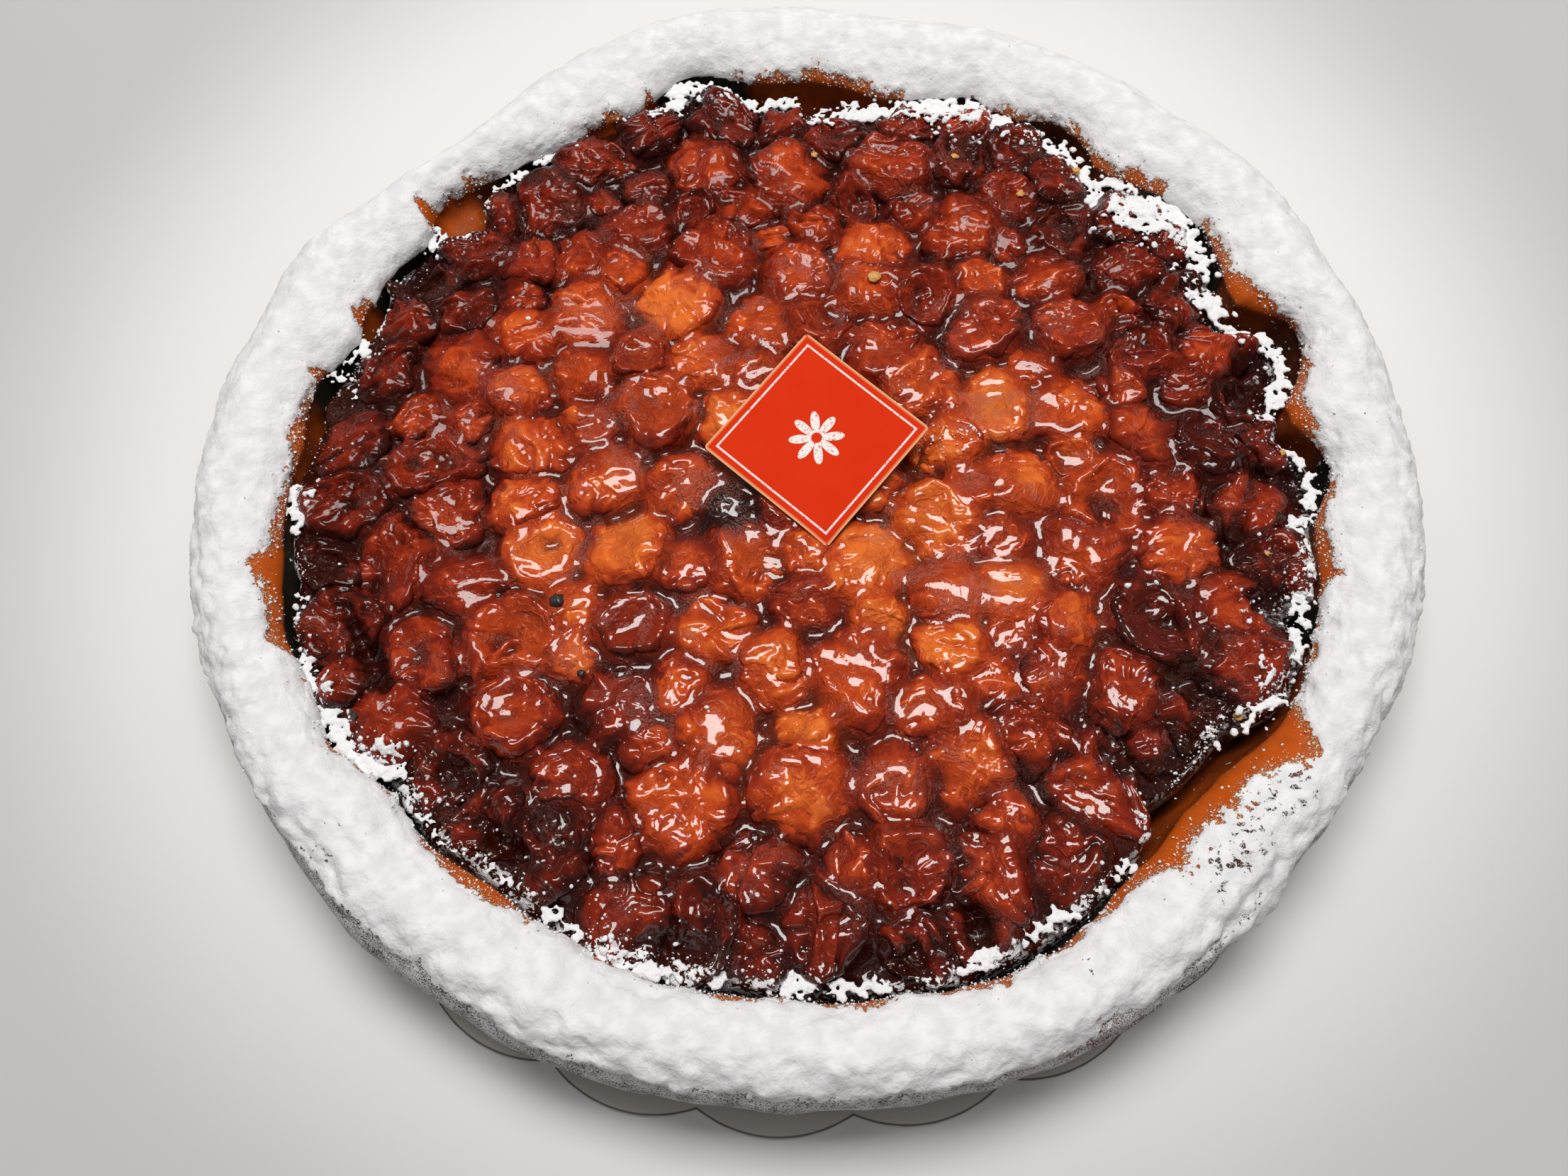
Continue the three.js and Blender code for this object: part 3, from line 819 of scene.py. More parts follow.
@dataclass(frozen=True)
class CherrySkin:
    """Wet wrinkled skin of baked cherries, from pale amber to nearly black."""

    stops: tuple[tuple[float, Colour], ...] = (
        (0.0, rgb(0.032, 0.0035, 0.0014)),
        (0.22, rgb(0.12, 0.0082, 0.0025)),
        (0.48, rgb(0.28, 0.022, 0.005)),
        (0.74, rgb(0.56, 0.066, 0.009)),
        (1.0, rgb(0.8, 0.17, 0.025)),
    )
    bloom: Colour = rgb(0.42, 0.2, 0.17)
    wettest: Triple = (0.01, -0.052, 0.03)  # in m
    drying: Pair = (0.055, 0.125)  # where it starts and ends, in m from there
    dryness: float = 0.62
    clearness: float = 0.12
    glow: Triple = (1.0, 0.25, 0.08)  # reach of red, green and blue light
    wrinkles: Stations = ((5.2, 1.3, 0.6), (2.7, 1.1, 0.4))  # size in mm, twist and share
    grain_size: float = 1.7
    wrinkle_depth: float = 0.28

    def wet_paint(self, name: str) -> Paint:
        """Starts a finish that is wet on top and lets some light into the flesh."""
        return Paint(
            name, Coat_Roughness=0.05, Coat_IOR=1.54, Subsurface_Weight=self.clearness,
            Subsurface_Radius=Vector(self.glow), Subsurface_Scale=0.9 * MM,
            Specular_IOR_Level=0.12,
        )

    def crumpled(self, paint: Paint) -> Wire:
        """Height of the finest wrinkles, from 0 to 1."""
        wide, close = (paint.creases(size, twist) * part for size, twist, part in self.wrinkles)
        return wide + close

    def colour(self, paint: Paint, crumple: Wire) -> Wire:
        """The colour of the flesh under the skin, with dust on it.

        Args:
            paint: the finish in the making.
            crumple: height of the finest wrinkles, from 0 to 1.

        Returns:
            The colour.
        """
        ripe, shade, dust = paint.mark("ripe"), paint.mark("shade"), paint.mark("dust")
        blotch = paint.noise(4.5, 3, 0.6) - 0.5
        # Painted shade and light: the shade mark darkens the flesh, and the wrinkles' crests are
        # painted lighter than their hollows.
        flesh = paint.ramp(ripe + blotch * 0.36 + crumple * 0.12 - shade * 0.75, *self.stops)
        # Dried specks lightened towards the bloom colour, which is painted sheen as well.
        flesh = paint.mix(paint.glitter() * 0.12, flesh, self.bloom)
        grain = (paint.noise(1.0, 7) - 0.5) * 2.6 + (paint.noise(4.0, 2) - 0.5) * 0.8
        sugar = (dust * 1.5 - 0.6 + grain).rise(0.42, 0.5)
        from_pool = paint.node(
            "ShaderNodeVectorMath", {"operation": "DISTANCE"}, {0: paint.where, 1: self.wettest}, 1
        )
        wet = 1 - from_pool.rise(*self.drying) * self.dryness
        paint.set(Roughness=0.14 + sugar * 0.75, Coat_Weight=(1 - sugar) * wet)
        return paint.mix(sugar, flesh, SUGAR_WHITE)

    def raise_wrinkles(self, paint: Paint, crumple: Wire) -> None:
        """Raises the wrinkles, the dried specks and the skin's own grain."""
        grain = paint.noise(self.grain_size, 4, 1.2)
        paint.bump(crumple + paint.glitter() * 0.2 + grain * 0.85, self.wrinkle_depth)

    def material(self) -> Material:
        """Makes the material."""
        paint = self.wet_paint("cherry_skin")
        crumple = self.crumpled(paint) * (0.3 + paint.noise(8.0, 1).rise(0.42, 0.6) * 0.7)
        paint.set(Base_Color=self.colour(paint, crumple))
        self.raise_wrinkles(paint, crumple)
        return paint.material


@dataclass(frozen=True)
class SetJuice(CherrySkin):
    """Set cherry juice: dark where it is deep and in painted shade where it lies low, with a
    frosted bloom and painted sheen in places.
    """

    deep_and_shaded: Colour = rgb(0.025, 0.0045, 0.0035)
    frosting_and_sheen: float = 0.3
    clearness: float = 0.1
    glow: Triple = (1.0, 0.25, 0.1)
    wrinkles: Stations = ((4.4, 1.5, 0.7), (2.2, 1.0, 0.3))

    def material(self) -> Material:
        """Makes the material."""
        paint = self.wet_paint("set_juice")
        crumple = self.crumpled(paint)
        flesh = self.colour(paint, crumple)
        # The depth mark darkens the juice where it stands deep and, as painted shade, where it lies
        # lower than round it.
        pooled_and_shaded = paint.mix(paint.mark("depth"), flesh, self.deep_and_shaded)
        # Frosted bloom, lightened as painted sheen as well, in the middle of the pie.
        frost_and_sheen = paint.glitter() * paint.mark("bloom")
        paint.set(Base_Color=paint.mix(frost_and_sheen * self.frosting_and_sheen, pooled_and_shaded, self.bloom))
        self.raise_wrinkles(paint, crumple)
        return paint.material


@dataclass(frozen=True)
class CakeCardboard:
    """Grey card with a dark line just inside its scalloped edge, also pressed in as a shallow
    groove.
    """

    grey: Colour = rgb(0.6, 0.56, 0.51)
    pale: Colour = rgb(0.7, 0.66, 0.61)
    line: Colour = rgb(0.1, 0.085, 0.07)
    middle: Pair = (-1.8, -14.8)
    tip_radius: float = 129.5
    valley_radius: float = 125.7
    scallops: int = 25
    turn: float = -95.8
    line_start: Pair = (0.05, 0.2)  # mm inside the card's edge
    line_end: Pair = (0.4, 0.6)
    fibre_size: float = 0.8
    press_depth: float = 0.08

    def material(self) -> Material:
        """Makes the material."""
        paint = Paint("cake_cardboard", Specular_IOR_Level=0.35)
        half_pitch = math.pi / self.scallops
        notch = self.valley_radius * math.sin(half_pitch)
        rise = self.tip_radius - self.valley_radius * math.cos(half_pitch)
        arc = (notch**2 + rise**2) / (2 * rise)
        x = paint.part(paint.where, 0) - self.middle[0] * MM
        y = paint.part(paint.where, 1) - self.middle[1] * MM
        around = paint.maths("ARCTAN2", y, x) - math.radians(self.turn) + 2 * TAU + half_pitch
        local = paint.maths("MODULO", around, 2 * half_pitch) - half_pitch
        reach = paint.maths("SQRT", x * x + y * y) / MM
        over = reach * paint.maths("COSINE", local) - (self.tip_radius - arc)
        beside = reach * paint.maths("SINE", local)
        inside = arc - paint.maths("SQRT", over * over + beside * beside)
        pressed = inside.rise(*self.line_start) * (1 - inside.rise(*self.line_end))
        fibre = paint.noise(self.fibre_size, 4)
        base = paint.mix(fibre * 0.35, self.grey, self.pale)
        paint.set(
            Base_Color=paint.mix(pressed * 0.85, base, self.line),
            Roughness=0.5 + fibre * 0.25,
        )
        paint.bump(fibre * 0.3 - pressed, self.press_depth)
        return paint.material


@dataclass(frozen=True)
class PrintedCard:
    """Orange-red label card with a plain white flower and border line.

    Sizes of the print are shares of the card's side.
    """

    red: Colour = rgb(0.69, 0.026, 0.004)
    faded: Colour = rgb(0.76, 0.05, 0.008)
    print: Colour = rgb(0.88, 0.84, 0.8)
    core: Colour = rgb(0.86, 0.62, 0.3)
    petals: int = 8
    petal_length: float = 0.13
    petal_root: float = 0.045
    heart_radius: float = 0.035
    border: Pair = (0.435, 0.447)  # from the middle to both sides of the line
    flower_blur: float = 0.004
    line_blur: float = 0.003

    def material(self) -> Material:
        """Makes the material."""
        paint = Paint("printed_card", Specular_IOR_Level=0.06)
        place = paint.node("ShaderNodeUVMap", {"uv_map": "face"})
        x, y = paint.part(place, 0) - 0.5, paint.part(place, 1) - 0.5
        reach = paint.maths("SQRT", x * x + y * y)
        turn = paint.maths("ARCTAN2", y, x) * (self.petals / 2)
        petal = paint.maths("ABSOLUTE", paint.maths("COSINE", turn))
        flower = petal * self.petal_length + self.petal_root - reach
        flower = flower.rise(-self.flower_blur, self.flower_blur)
        heart = (reach - self.heart_radius).rise(-self.flower_blur, self.flower_blur)
        square = paint.maths("MAXIMUM", paint.maths("ABSOLUTE", x), paint.maths("ABSOLUTE", y))
        inner, outer = (
            (square - side).rise(-self.line_blur, self.line_blur) for side in self.border
        )
        inked = paint.maths("MAXIMUM", flower * heart, inner * (1 - outer))
        worn = paint.noise(0.5, 3).rise(0.3, 0.45)
        speck = paint.noise(0.7, 1).rise(0.82, 0.84)
        ground = paint.mix(paint.noise(9, 2) * 0.5, self.red, self.faded)
        face = paint.mix(inked * worn, ground, self.print)
        body = paint.mix(paint.mark("edge"), face, self.core)
        paint.set(Base_Color=paint.mix(speck * 0.9, body, SUGAR_WHITE), Roughness=0.7 + worn * 0.1)
        paint.bump(paint.noise(0.6, 2) * 0.5 + speck, 0.06)
        return paint.material


@dataclass(frozen=True)
class Crumb:
    """A plain rough or wet scrap with some variation in its colour."""

    name: str
    dark: Colour
    light: Colour
    roughness: float = 0.6
    size: float = 1.5
    coat: float = 0.0

    def material(self) -> Material:
        """Makes the material."""
        paint = Paint(self.name, Roughness=self.roughness, Coat_Weight=self.coat)
        paint.set(Base_Color=paint.mix(paint.noise(self.size, 3), self.dark, self.light))
        paint.bump(paint.noise(self.size / 2, 2), 0.3)
        return paint.material


DRIED_CHERRY = Crumb(
    "dried_cherry", rgb(0.008, 0.007, 0.008), rgb(0.03, 0.02, 0.018), 0.25, 1.2, 0.6
)
GOLDEN_CRUMB = Crumb("golden_crumb", rgb(0.5, 0.19, 0.03), rgb(0.75, 0.45, 0.13))
BURNT_BIT = Crumb("burnt_bit", rgb(0.01, 0.01, 0.011), rgb(0.04, 0.035, 0.035), 0.3, 0.8, 0.4)


@dataclass(frozen=True)
class Tabletop:
    """Pale smooth table, with painted shade that dims it away from the pie and more towards the
    front.
    """

    pale: Colour = rgb(0.8, 0.785, 0.78)
    dim: Colour = rgb(0.55, 0.537, 0.53)
    painted_dimming: Pair = (0.145, 0.225)  # where it starts and ends, in m
    lean: float = 0.15  # how much further it starts towards the back
    cloud_size: float = 160.0

    def material(self) -> Material:
        """Makes the material."""
        paint = Paint("tabletop", Specular_IOR_Level=0.08)
        away = paint.node("ShaderNodeVectorMath", {"operation": "LENGTH"}, {0: paint.where}, 1)
        along = paint.part(paint.where, 1)
        cloud = paint.noise(self.cloud_size, 2)
        # Painted shade: the table darkens away from the pie, starting further out towards the back.
        share = (away - along * self.lean).rise(*self.painted_dimming) + (cloud - 0.5) * 0.3
        paint.set(Base_Color=paint.mix(share, self.pale, self.dim), Roughness=0.8 + cloud * 0.1)
        return paint.material


# ---- crust ----
@dataclass
class Crust:
    """The rolled pastry rim with its floor, and the powdered sugar on it.

    The cut outline runs through numbered knots: out along the foot, up the side, over the crest,
    down past the lip and in along the floor.
    """

    around: int = 900
    base_z: float = 1.8
    floor_z: float = 6.8
    hole_radius: float = 60.0
    roll: Stations = (  # share of the way from the lip to the outer edge, and z
        (0.965, 11.5), (1.0, 19.0), (0.95, 25.2), (0.79, 29.8), (0.55, 32.2), (0.29, 31.0),
        (0.1, 28.6),
    )
    leans: Stations = (  # azimuth, half width in degrees and mm that the inner wall leans inward
        (137.5, 4.0, 9.0), (112, 5.0, 5.0),
    )
    row_counts: tuple[int, ...] = (1, 2, 3, 7, 9, 9, 9, 9, 10, 10, 9, 8, 6, 4, 3, 2, 3)
    crest_knot: float = 7.5
    lip_knot: float = 11.3
    floor_knot: float = 14.5
    sugar_thickness: float = 0.9
    creases: Stations = (  # from, to, height on the side and depth in mm
        (299, 312, 28.6, 0.8), (285, 303, 23.5, 1.2), (217, 227, 31.2, 0.7), (203, 214, 23.0, 0.8),
    )
    crease_width: float = 1.1
    bare: Stations = (  # azimuth, z, half width in degrees, half height in mm and share
        (222, 31.3, 2.6, 0.35, 0.55), (282, 25.0, 1.0, 1.8, 0.8), (291.6, 28.0, 0.5, 2.6, 0.9),
        (293.5, 24.5, 4.0, 1.0, 0.8), (305, 28.0, 3.5, 0.7, 0.6), (301, 28.9, 2.0, 0.6, 0.5),
        (290.5, 29.4, 0.9, 0.5, 0.8),
    )
    worn_crest: Triple = (312, 12, 7)  # azimuth, start and full, in degrees
    worn_side: Triple = (215, 14, 8)
    pale_sides: Stations = ((288, 9, 4, 0.45), (206, 5, 2, 0.35))  # the same, and share
    pale_back: Triple = (95, 105, 60)
    grain: Grain = field(default_factory=lambda: Grain(3))

    def section(self, azimuth: Array) -> Array:
        """The rim's cut outline at some azimuths.

        Args:
            azimuth: one azimuth for each section.

        Returns:
            For each of them, the [radius, z] of the knots that the outline runs through.
        """
        rim, lip = RIM.at(azimuth), LIP.at(azimuth)
        flat = np.ones_like(rim)
        lean = np.zeros_like(rim)
        for middle, half_width, inward in self.leans:
            lean += inward * bell(apart(azimuth, middle) / half_width, 4)
        knots = [
            (flat * self.hole_radius, self.base_z), (rim - 14, self.base_z),
            (rim - 7.5, self.base_z), (rim - 3.4, self.base_z + 3.6),
            *[(lip + share * (rim - lip), z) for share, z in self.roll],
            (lip, 25.8), (lip - 0.3 - 0.15 * lean, 22.0),
            (lip - 1.2 - 0.7 * lean, 16.0 + 0.2 * lean), (lip - 4.0 - 0.6 * lean, 9.5),
            (lip - 9.0, self.floor_z), (flat * self.hole_radius, self.floor_z),
        ]
        return np.stack([np.stack([radius, flat * z], axis=1) for radius, z in knots], axis=1)

    def rows(self) -> Array:
        """Where the rows of points lie along the section, as knot numbers."""
        spread = [k + np.arange(n) / n for k, n in enumerate(self.row_counts)]
        return np.concatenate([*spread, [len(self.row_counts)]])

    def wrapped(self, azimuth: Array, knot: Array) -> Array:
        """Points of the rim with no relief.

        Args:
            azimuth: azimuth of each point.
            knot: place of each point along the section.

        Returns:
            Rows of x, y and z.
        """
        knots = self.section(azimuth)
        count = knots.shape[1]
        first = np.floor(knot).astype(int)
        t = (knot - first)[:, None]
        each = np.arange(len(knot))
        before, start, end, after = (knots[each, (first + k) % count] for k in (-1, 0, 1, 2))
        curve = 0.5 * (
            2 * start + (end - before) * t
            + (2 * before - 5 * start + 4 * end - after) * t**2
            + (3 * start - before - 3 * end + after) * t**3
        )
        return polar(curve[:, 0], np.radians(azimuth), curve[:, 1])

    def cover(self, points: Array, knot: Array) -> Array:
        """How thick the sugar lies on each point, from 0 to about 1.2."""
        azimuth, z = azimuth_of(points), points[:, 2]
        reach = reach_of(points)
        ragged = 1.1 * self.grain.layers(points, 3.2, 3) + 0.4 * self.grain.at(points, 1.2)
        inner = ease(-1.9, 1.1, SUGAR_EDGE.outside(points) + ragged)
        inner = np.where(knot > self.lip_knot, ease(-0.5, 1.5, z - 24.6 + ragged) * inner, inner)
        drape = 0.9 * self.grain.layers(points, 7.0, 3) + 0.5 * self.grain.at(points, 1.8)
        outer = ease(-3.2, 1.2, z - SIDE_SUGAR_Z.at(azimuth) + drape)
        outside = (knot < self.crest_knot) | (reach > LIP.at(azimuth) + 11)
        cover = 1.2 * np.where(outside, outer, inner)
        worn = within(azimuth, *self.worn_crest) * ease(7.5, 3, np.abs(reach - 125.5))
        worn = np.maximum(worn, 0.35 * within(azimuth, *self.worn_side) * (reach > 132))
        cover = cover - 0.52 * worn
        for middle, level, wide, high, share in self.bare:
            beside, above = apart(azimuth, middle) / wide, (z - level + ragged) / high
            cover = cover - 1.3 * share * np.exp(-(beside**4) - above**2) * (reach > 125)
        return np.maximum(cover, 0)

    def thin_sugar(self, points: Array, knot: Array) -> Array:
        """How close the specks of thin sugar lie on each point, from 0 to about 0.6."""
        z, beyond = points[:, 2], SUGAR_EDGE.outside(points)
        fading = np.where(knot < 8.0, ease(0, 20, z - 2.5) * 0.5 + 0.12, 0.0)
        near_edge = np.where(knot >= self.crest_knot, ease(-4.5, 0.0, beyond), 0)
        return np.maximum(fading, 0.46 * near_edge * ease(23.5, 25.5, z))

    def toasting_and_shade(self, points: Array, knot: Array) -> Array:
        """How brown the pastry is at each point, from 0, golden, to 1, burnt; on the inner wall
        this includes painted shade below the lip and down into the gaps.
        """
        azimuth, z = azimuth_of(points), points[:, 2]
        bake_and_shade = WALL_BAKE_AND_SHADE.at(azimuth)
        # Painted shade: the inner wall darkens below the lip and further down into the gaps.
        deep_and_shaded = bake_and_shade * ease(26.0, 24.4, z) + (1 - bake_and_shade) * 0.25 * ease(22, 10, z)
        side = 0.95
        for middle, start, full, share in self.pale_sides:
            side = side - share * within(azimuth, middle, start, full) * ease(19, 24, z)
        side = side - 0.3 * within(azimuth, *self.pale_back)
        inner = 0.02 + 1.1 * deep_and_shaded + 0.88 * ease(1.0, 4.5, SUGAR_EDGE.outside(points))
        return np.clip(np.where(knot < self.crest_knot, side, inner), 0, 1)

    def relief(self, points: Array, cover: Array) -> Array:
        """Height of the sugar and the creases at each point, in mm."""
        azimuth, z = azimuth_of(points), points[:, 2]
        reach = reach_of(points)
        cover = np.clip(cover, 0, 1)
        height = cover * self.sugar_thickness - 0.6
        height += 0.5 * self.grain.layers(points, 11.0, 2)
        height += cover * (0.24 * self.grain.layers(points + 9, 3.6, 3))
        rough = 0.4 + 0.6 * ease(40, -40, points[:, 1])
        outside = 0.38 + 0.4 * ease(126, 134, reach)
        height += cover * rough * outside * self.grain.layers(points + 30, 3.8, 2)
        for start, end, level, depth in self.creases:
            middle, half = (start + end) / 2, (end - start) / 2
            fade = ease(1.0, 0.6, np.abs(apart(azimuth, middle)) / half)
            above = (z - level - 1.5 * self.grain.at(points, 14.0)) / self.crease_width
            height -= depth * fade * bell(above) * (reach > 126)
        return height

    def build(self) -> Piece:
        """Makes the rim and its floor as one closed mesh."""
        rows = self.rows()
        deselect_all()
        bpy.ops.mesh.primitive_grid_add(
            x_subdivisions=self.around, y_subdivisions=len(rows) - 1, size=2 * MM
        )
        piece = added("sugared_crust")
        share = (points_of(piece)[:, :2] + 1) / 2
        knot = rows[np.rint(share[:, 1] * (len(rows) - 1)).astype(int)]
        move_points(piece, self.wrapped(360 * share[:, 0], knot))
        paint_points(piece, "knot", knot)
        select_only(piece)
        bpy.ops.object.mode_set(mode="EDIT")
        bpy.ops.mesh.select_all(action="SELECT")
        bpy.ops.mesh.remove_doubles(threshold=0.002 * MM)
        bpy.ops.object.mode_set(mode="OBJECT")
        smooth_outward(piece)
        points, knot = points_of(piece), read_points(piece, "knot")
        normals = np.empty(points.size, np.float32)
        piece.data.vertices.foreach_get("normal", normals)
        cover = self.cover(points, knot)
        paint_points(piece, "cover", cover)
        paint_points(piece, "thin", self.thin_sugar(points, knot))
        paint_points(piece, "toast", self.toasting_and_shade(points, knot))
        shown = ease(self.base_z, 5.0, points[:, 2]) * (knot < self.floor_knot)
        lift = (self.relief(points, cover) * shown)[:, None]
        points = points + lift * normals.reshape(-1, 3)
        points[:, 2] = np.maximum(points[:, 2], self.base_z)
        move_points(piece, points)
        return piece


# ---- cherries ----
class Form(Enum):
    """How a cherry collapsed in the oven."""

    PLUMP = "plump"
    SMOOTH = "smooth"
    DIMPLED = "dimpled"
    FOLDED = "folded"
    CUPPED = "cupped"
    DRIED = "dried"


class Ripeness(Enum):
    """Colour of a cherry, as its share of the way from black to pale amber."""

    DARK = 0.24
    RED = 0.47
    AMBER = 0.68
    PALE = 0.88
    BLACK = -0.4


@dataclass(frozen=True)
class Wrinkles:
    """Relief of one form of cherry: shares of its height or depths in mm."""

    dent: float
    ring: float
    pucker: float
    flap: float
    crease: float
    coarse: float
    fine: float


WRINKLES = {
    Form.PLUMP: Wrinkles(0.14, 0.12, 0.14, 0.0, 0.5, 0.44, 0.26),
    Form.SMOOTH: Wrinkles(0.12, 0.05, 0.06, 0.3, 0.6, 0.26, 0.13),
    Form.DIMPLED: Wrinkles(0.55, 0.3, 0.34, 0.0, 0.5, 0.44, 0.24),
    Form.FOLDED: Wrinkles(0.25, 0.1, 0.08, 1.0, 0.9, 0.55, 0.26),
    Form.CUPPED: Wrinkles(0.9, 0.45, 0.14, 0.4, 0.6, 0.4, 0.2),
    Form.DRIED: Wrinkles(0.1, 0.0, 0.3, 0.3, 0.5, 1.0, 0.5),
}


@dataclass
class Cherry:
    """One cherry: where it lies, how big it is, how it is stretched and turned, and its kind."""

    x: float
    y: float
    size: float
    stretch: float
    turn: float
    form: Form
    ripe: float


HOLLOW_FORMS = (Form.FOLDED, Form.FOLDED, Form.CUPPED)
ROUND_FORMS = (Form.PLUMP, Form.SMOOTH, Form.DIMPLED)
F, R = Form, Ripeness
CHERRIES = (
    (-46.7, 39, 19, 1, 0, F.PLUMP, R.AMBER), (-27, 41, 18, 1.05, 20, F.PLUMP, R.PALE),
    (-6.4, 34, 16, 1.1, 10, F.PLUMP, R.AMBER), (-62, 57, 14, 1, 0, F.DIMPLED, R.RED),
    (-15, 55, 20, 1.1, -15, F.DIMPLED, R.RED), (22, 55, 16, 1.15, 60, F.SMOOTH, R.AMBER),
    (-32, 13, 16, 1.25, 85, F.CUPPED, R.AMBER), (-79, 27, 18, 1.1, -20, F.SMOOTH, R.RED),
    (-82, 2.5, 17, 1.25, 5, F.CUPPED, R.RED), (-89, -22, 20, 1, 0, F.CUPPED, R.RED),
    (-55, -22, 16, 1.1, 15, F.DIMPLED, R.PALE), (-40.5, -23, 19, 1.15, -10, F.SMOOTH, R.PALE),
    (-12.6, -30, 18, 1, 0, F.DIMPLED, R.AMBER), (13, -30, 18, 1.05, -35, F.SMOOTH, R.PALE),
    (29, -22, 16, 1.1, 90, F.DIMPLED, R.PALE), (43, -39, 14, 1.1, 60, F.PLUMP, R.PALE),
    (-63, -42.5, 18, 1.25, -5, F.CUPPED, R.AMBER), (-38, -40, 15, 1.2, 0, F.CUPPED, R.RED),
    (8, -55, 20, 1, 0, F.DIMPLED, R.AMBER), (29, -52, 14, 1, 0, F.PLUMP, R.PALE),
    (-20, -67, 20, 1.1, 30, F.SMOOTH, R.AMBER), (-41, -58, 18, 1.05, 0, F.FOLDED, R.DARK),
    (50, -60, 15, 1, 0, F.PLUMP, R.RED), (-29, -81, 20, 1.05, 10, F.DIMPLED, R.AMBER),
    (-4, -81, 20, 1.1, -20, F.SMOOTH, R.AMBER), (29, -78, 18, 1.1, 10, F.PLUMP, R.AMBER),
    (15, -97, 15, 1.15, 50, F.CUPPED, R.RED), (31, -98, 15, 1.1, -60, F.FOLDED, R.RED),
    (67, -18, 19, 1.15, 80, F.CUPPED, R.AMBER), (81, -33, 15, 1.2, 60, F.FOLDED, R.AMBER),
    (74, -48, 17, 1, 0, F.CUPPED, R.DARK), (90, -46, 14, 1.3, 80, F.FOLDED, R.RED),
    (60, 40, 17, 1.1, 75, F.SMOOTH, R.RED), (44, 58, 17, 1.1, 10, F.PLUMP, R.RED),
    (4, 75, 20, 1.15, 0, F.FOLDED, R.RED), (-20, 82, 19, 1.1, -15, F.SMOOTH, R.RED),
    (29, 79, 18, 1.05, 30, F.DIMPLED, R.RED), (5, 11, 17, 1.1, 20, F.PLUMP, R.AMBER),
    (30, 13, 17, 1.1, -10, F.FOLDED, R.AMBER), (45, 27, 16, 1.1, 40, F.DIMPLED, R.RED),
    (98, 18, 15, 1, 0, F.SMOOTH, R.RED), (62, 5, 16, 1.1, 15, F.SMOOTH, R.AMBER),
    (-60, 5, 17, 1.1, 0, F.SMOOTH, R.AMBER), (-41, -104, 16, 1.1, 20, F.SMOOTH, R.DARK),
    (57, -84, 17, 1.1, 40, F.DIMPLED, R.RED), (-15.7, -15.4, 9, 1.1, 30, F.DRIED, R.BLACK),
)


class Rolling:
    """The stream of numbers from 0 to 1 that the fruit was laid with."""

    def __init__(self, seed: int) -> None:
        """Starts the stream."""
        self.state = seed

    def take(self, count: int) -> Array:
        """The next numbers of the stream."""
        drawn = []
        for _ in range(count):
            self.state = (self.state * 1664525 + 1013904223) % 2**32
            drawn.append(self.state / 2**32)
        return np.array(drawn)


@dataclass
class Dome:
    """A cherry's smooth dome before its skin is wrinkled, point by point."""

    points: Array
    outward: Array  # the way that wrinkles stand out
    extent: Array  # reach of the whole cherry in the point's direction
    out: Array  # share of the way from the middle to the brow
    under: Array  # share of the way from the brow to the foot
    height: float


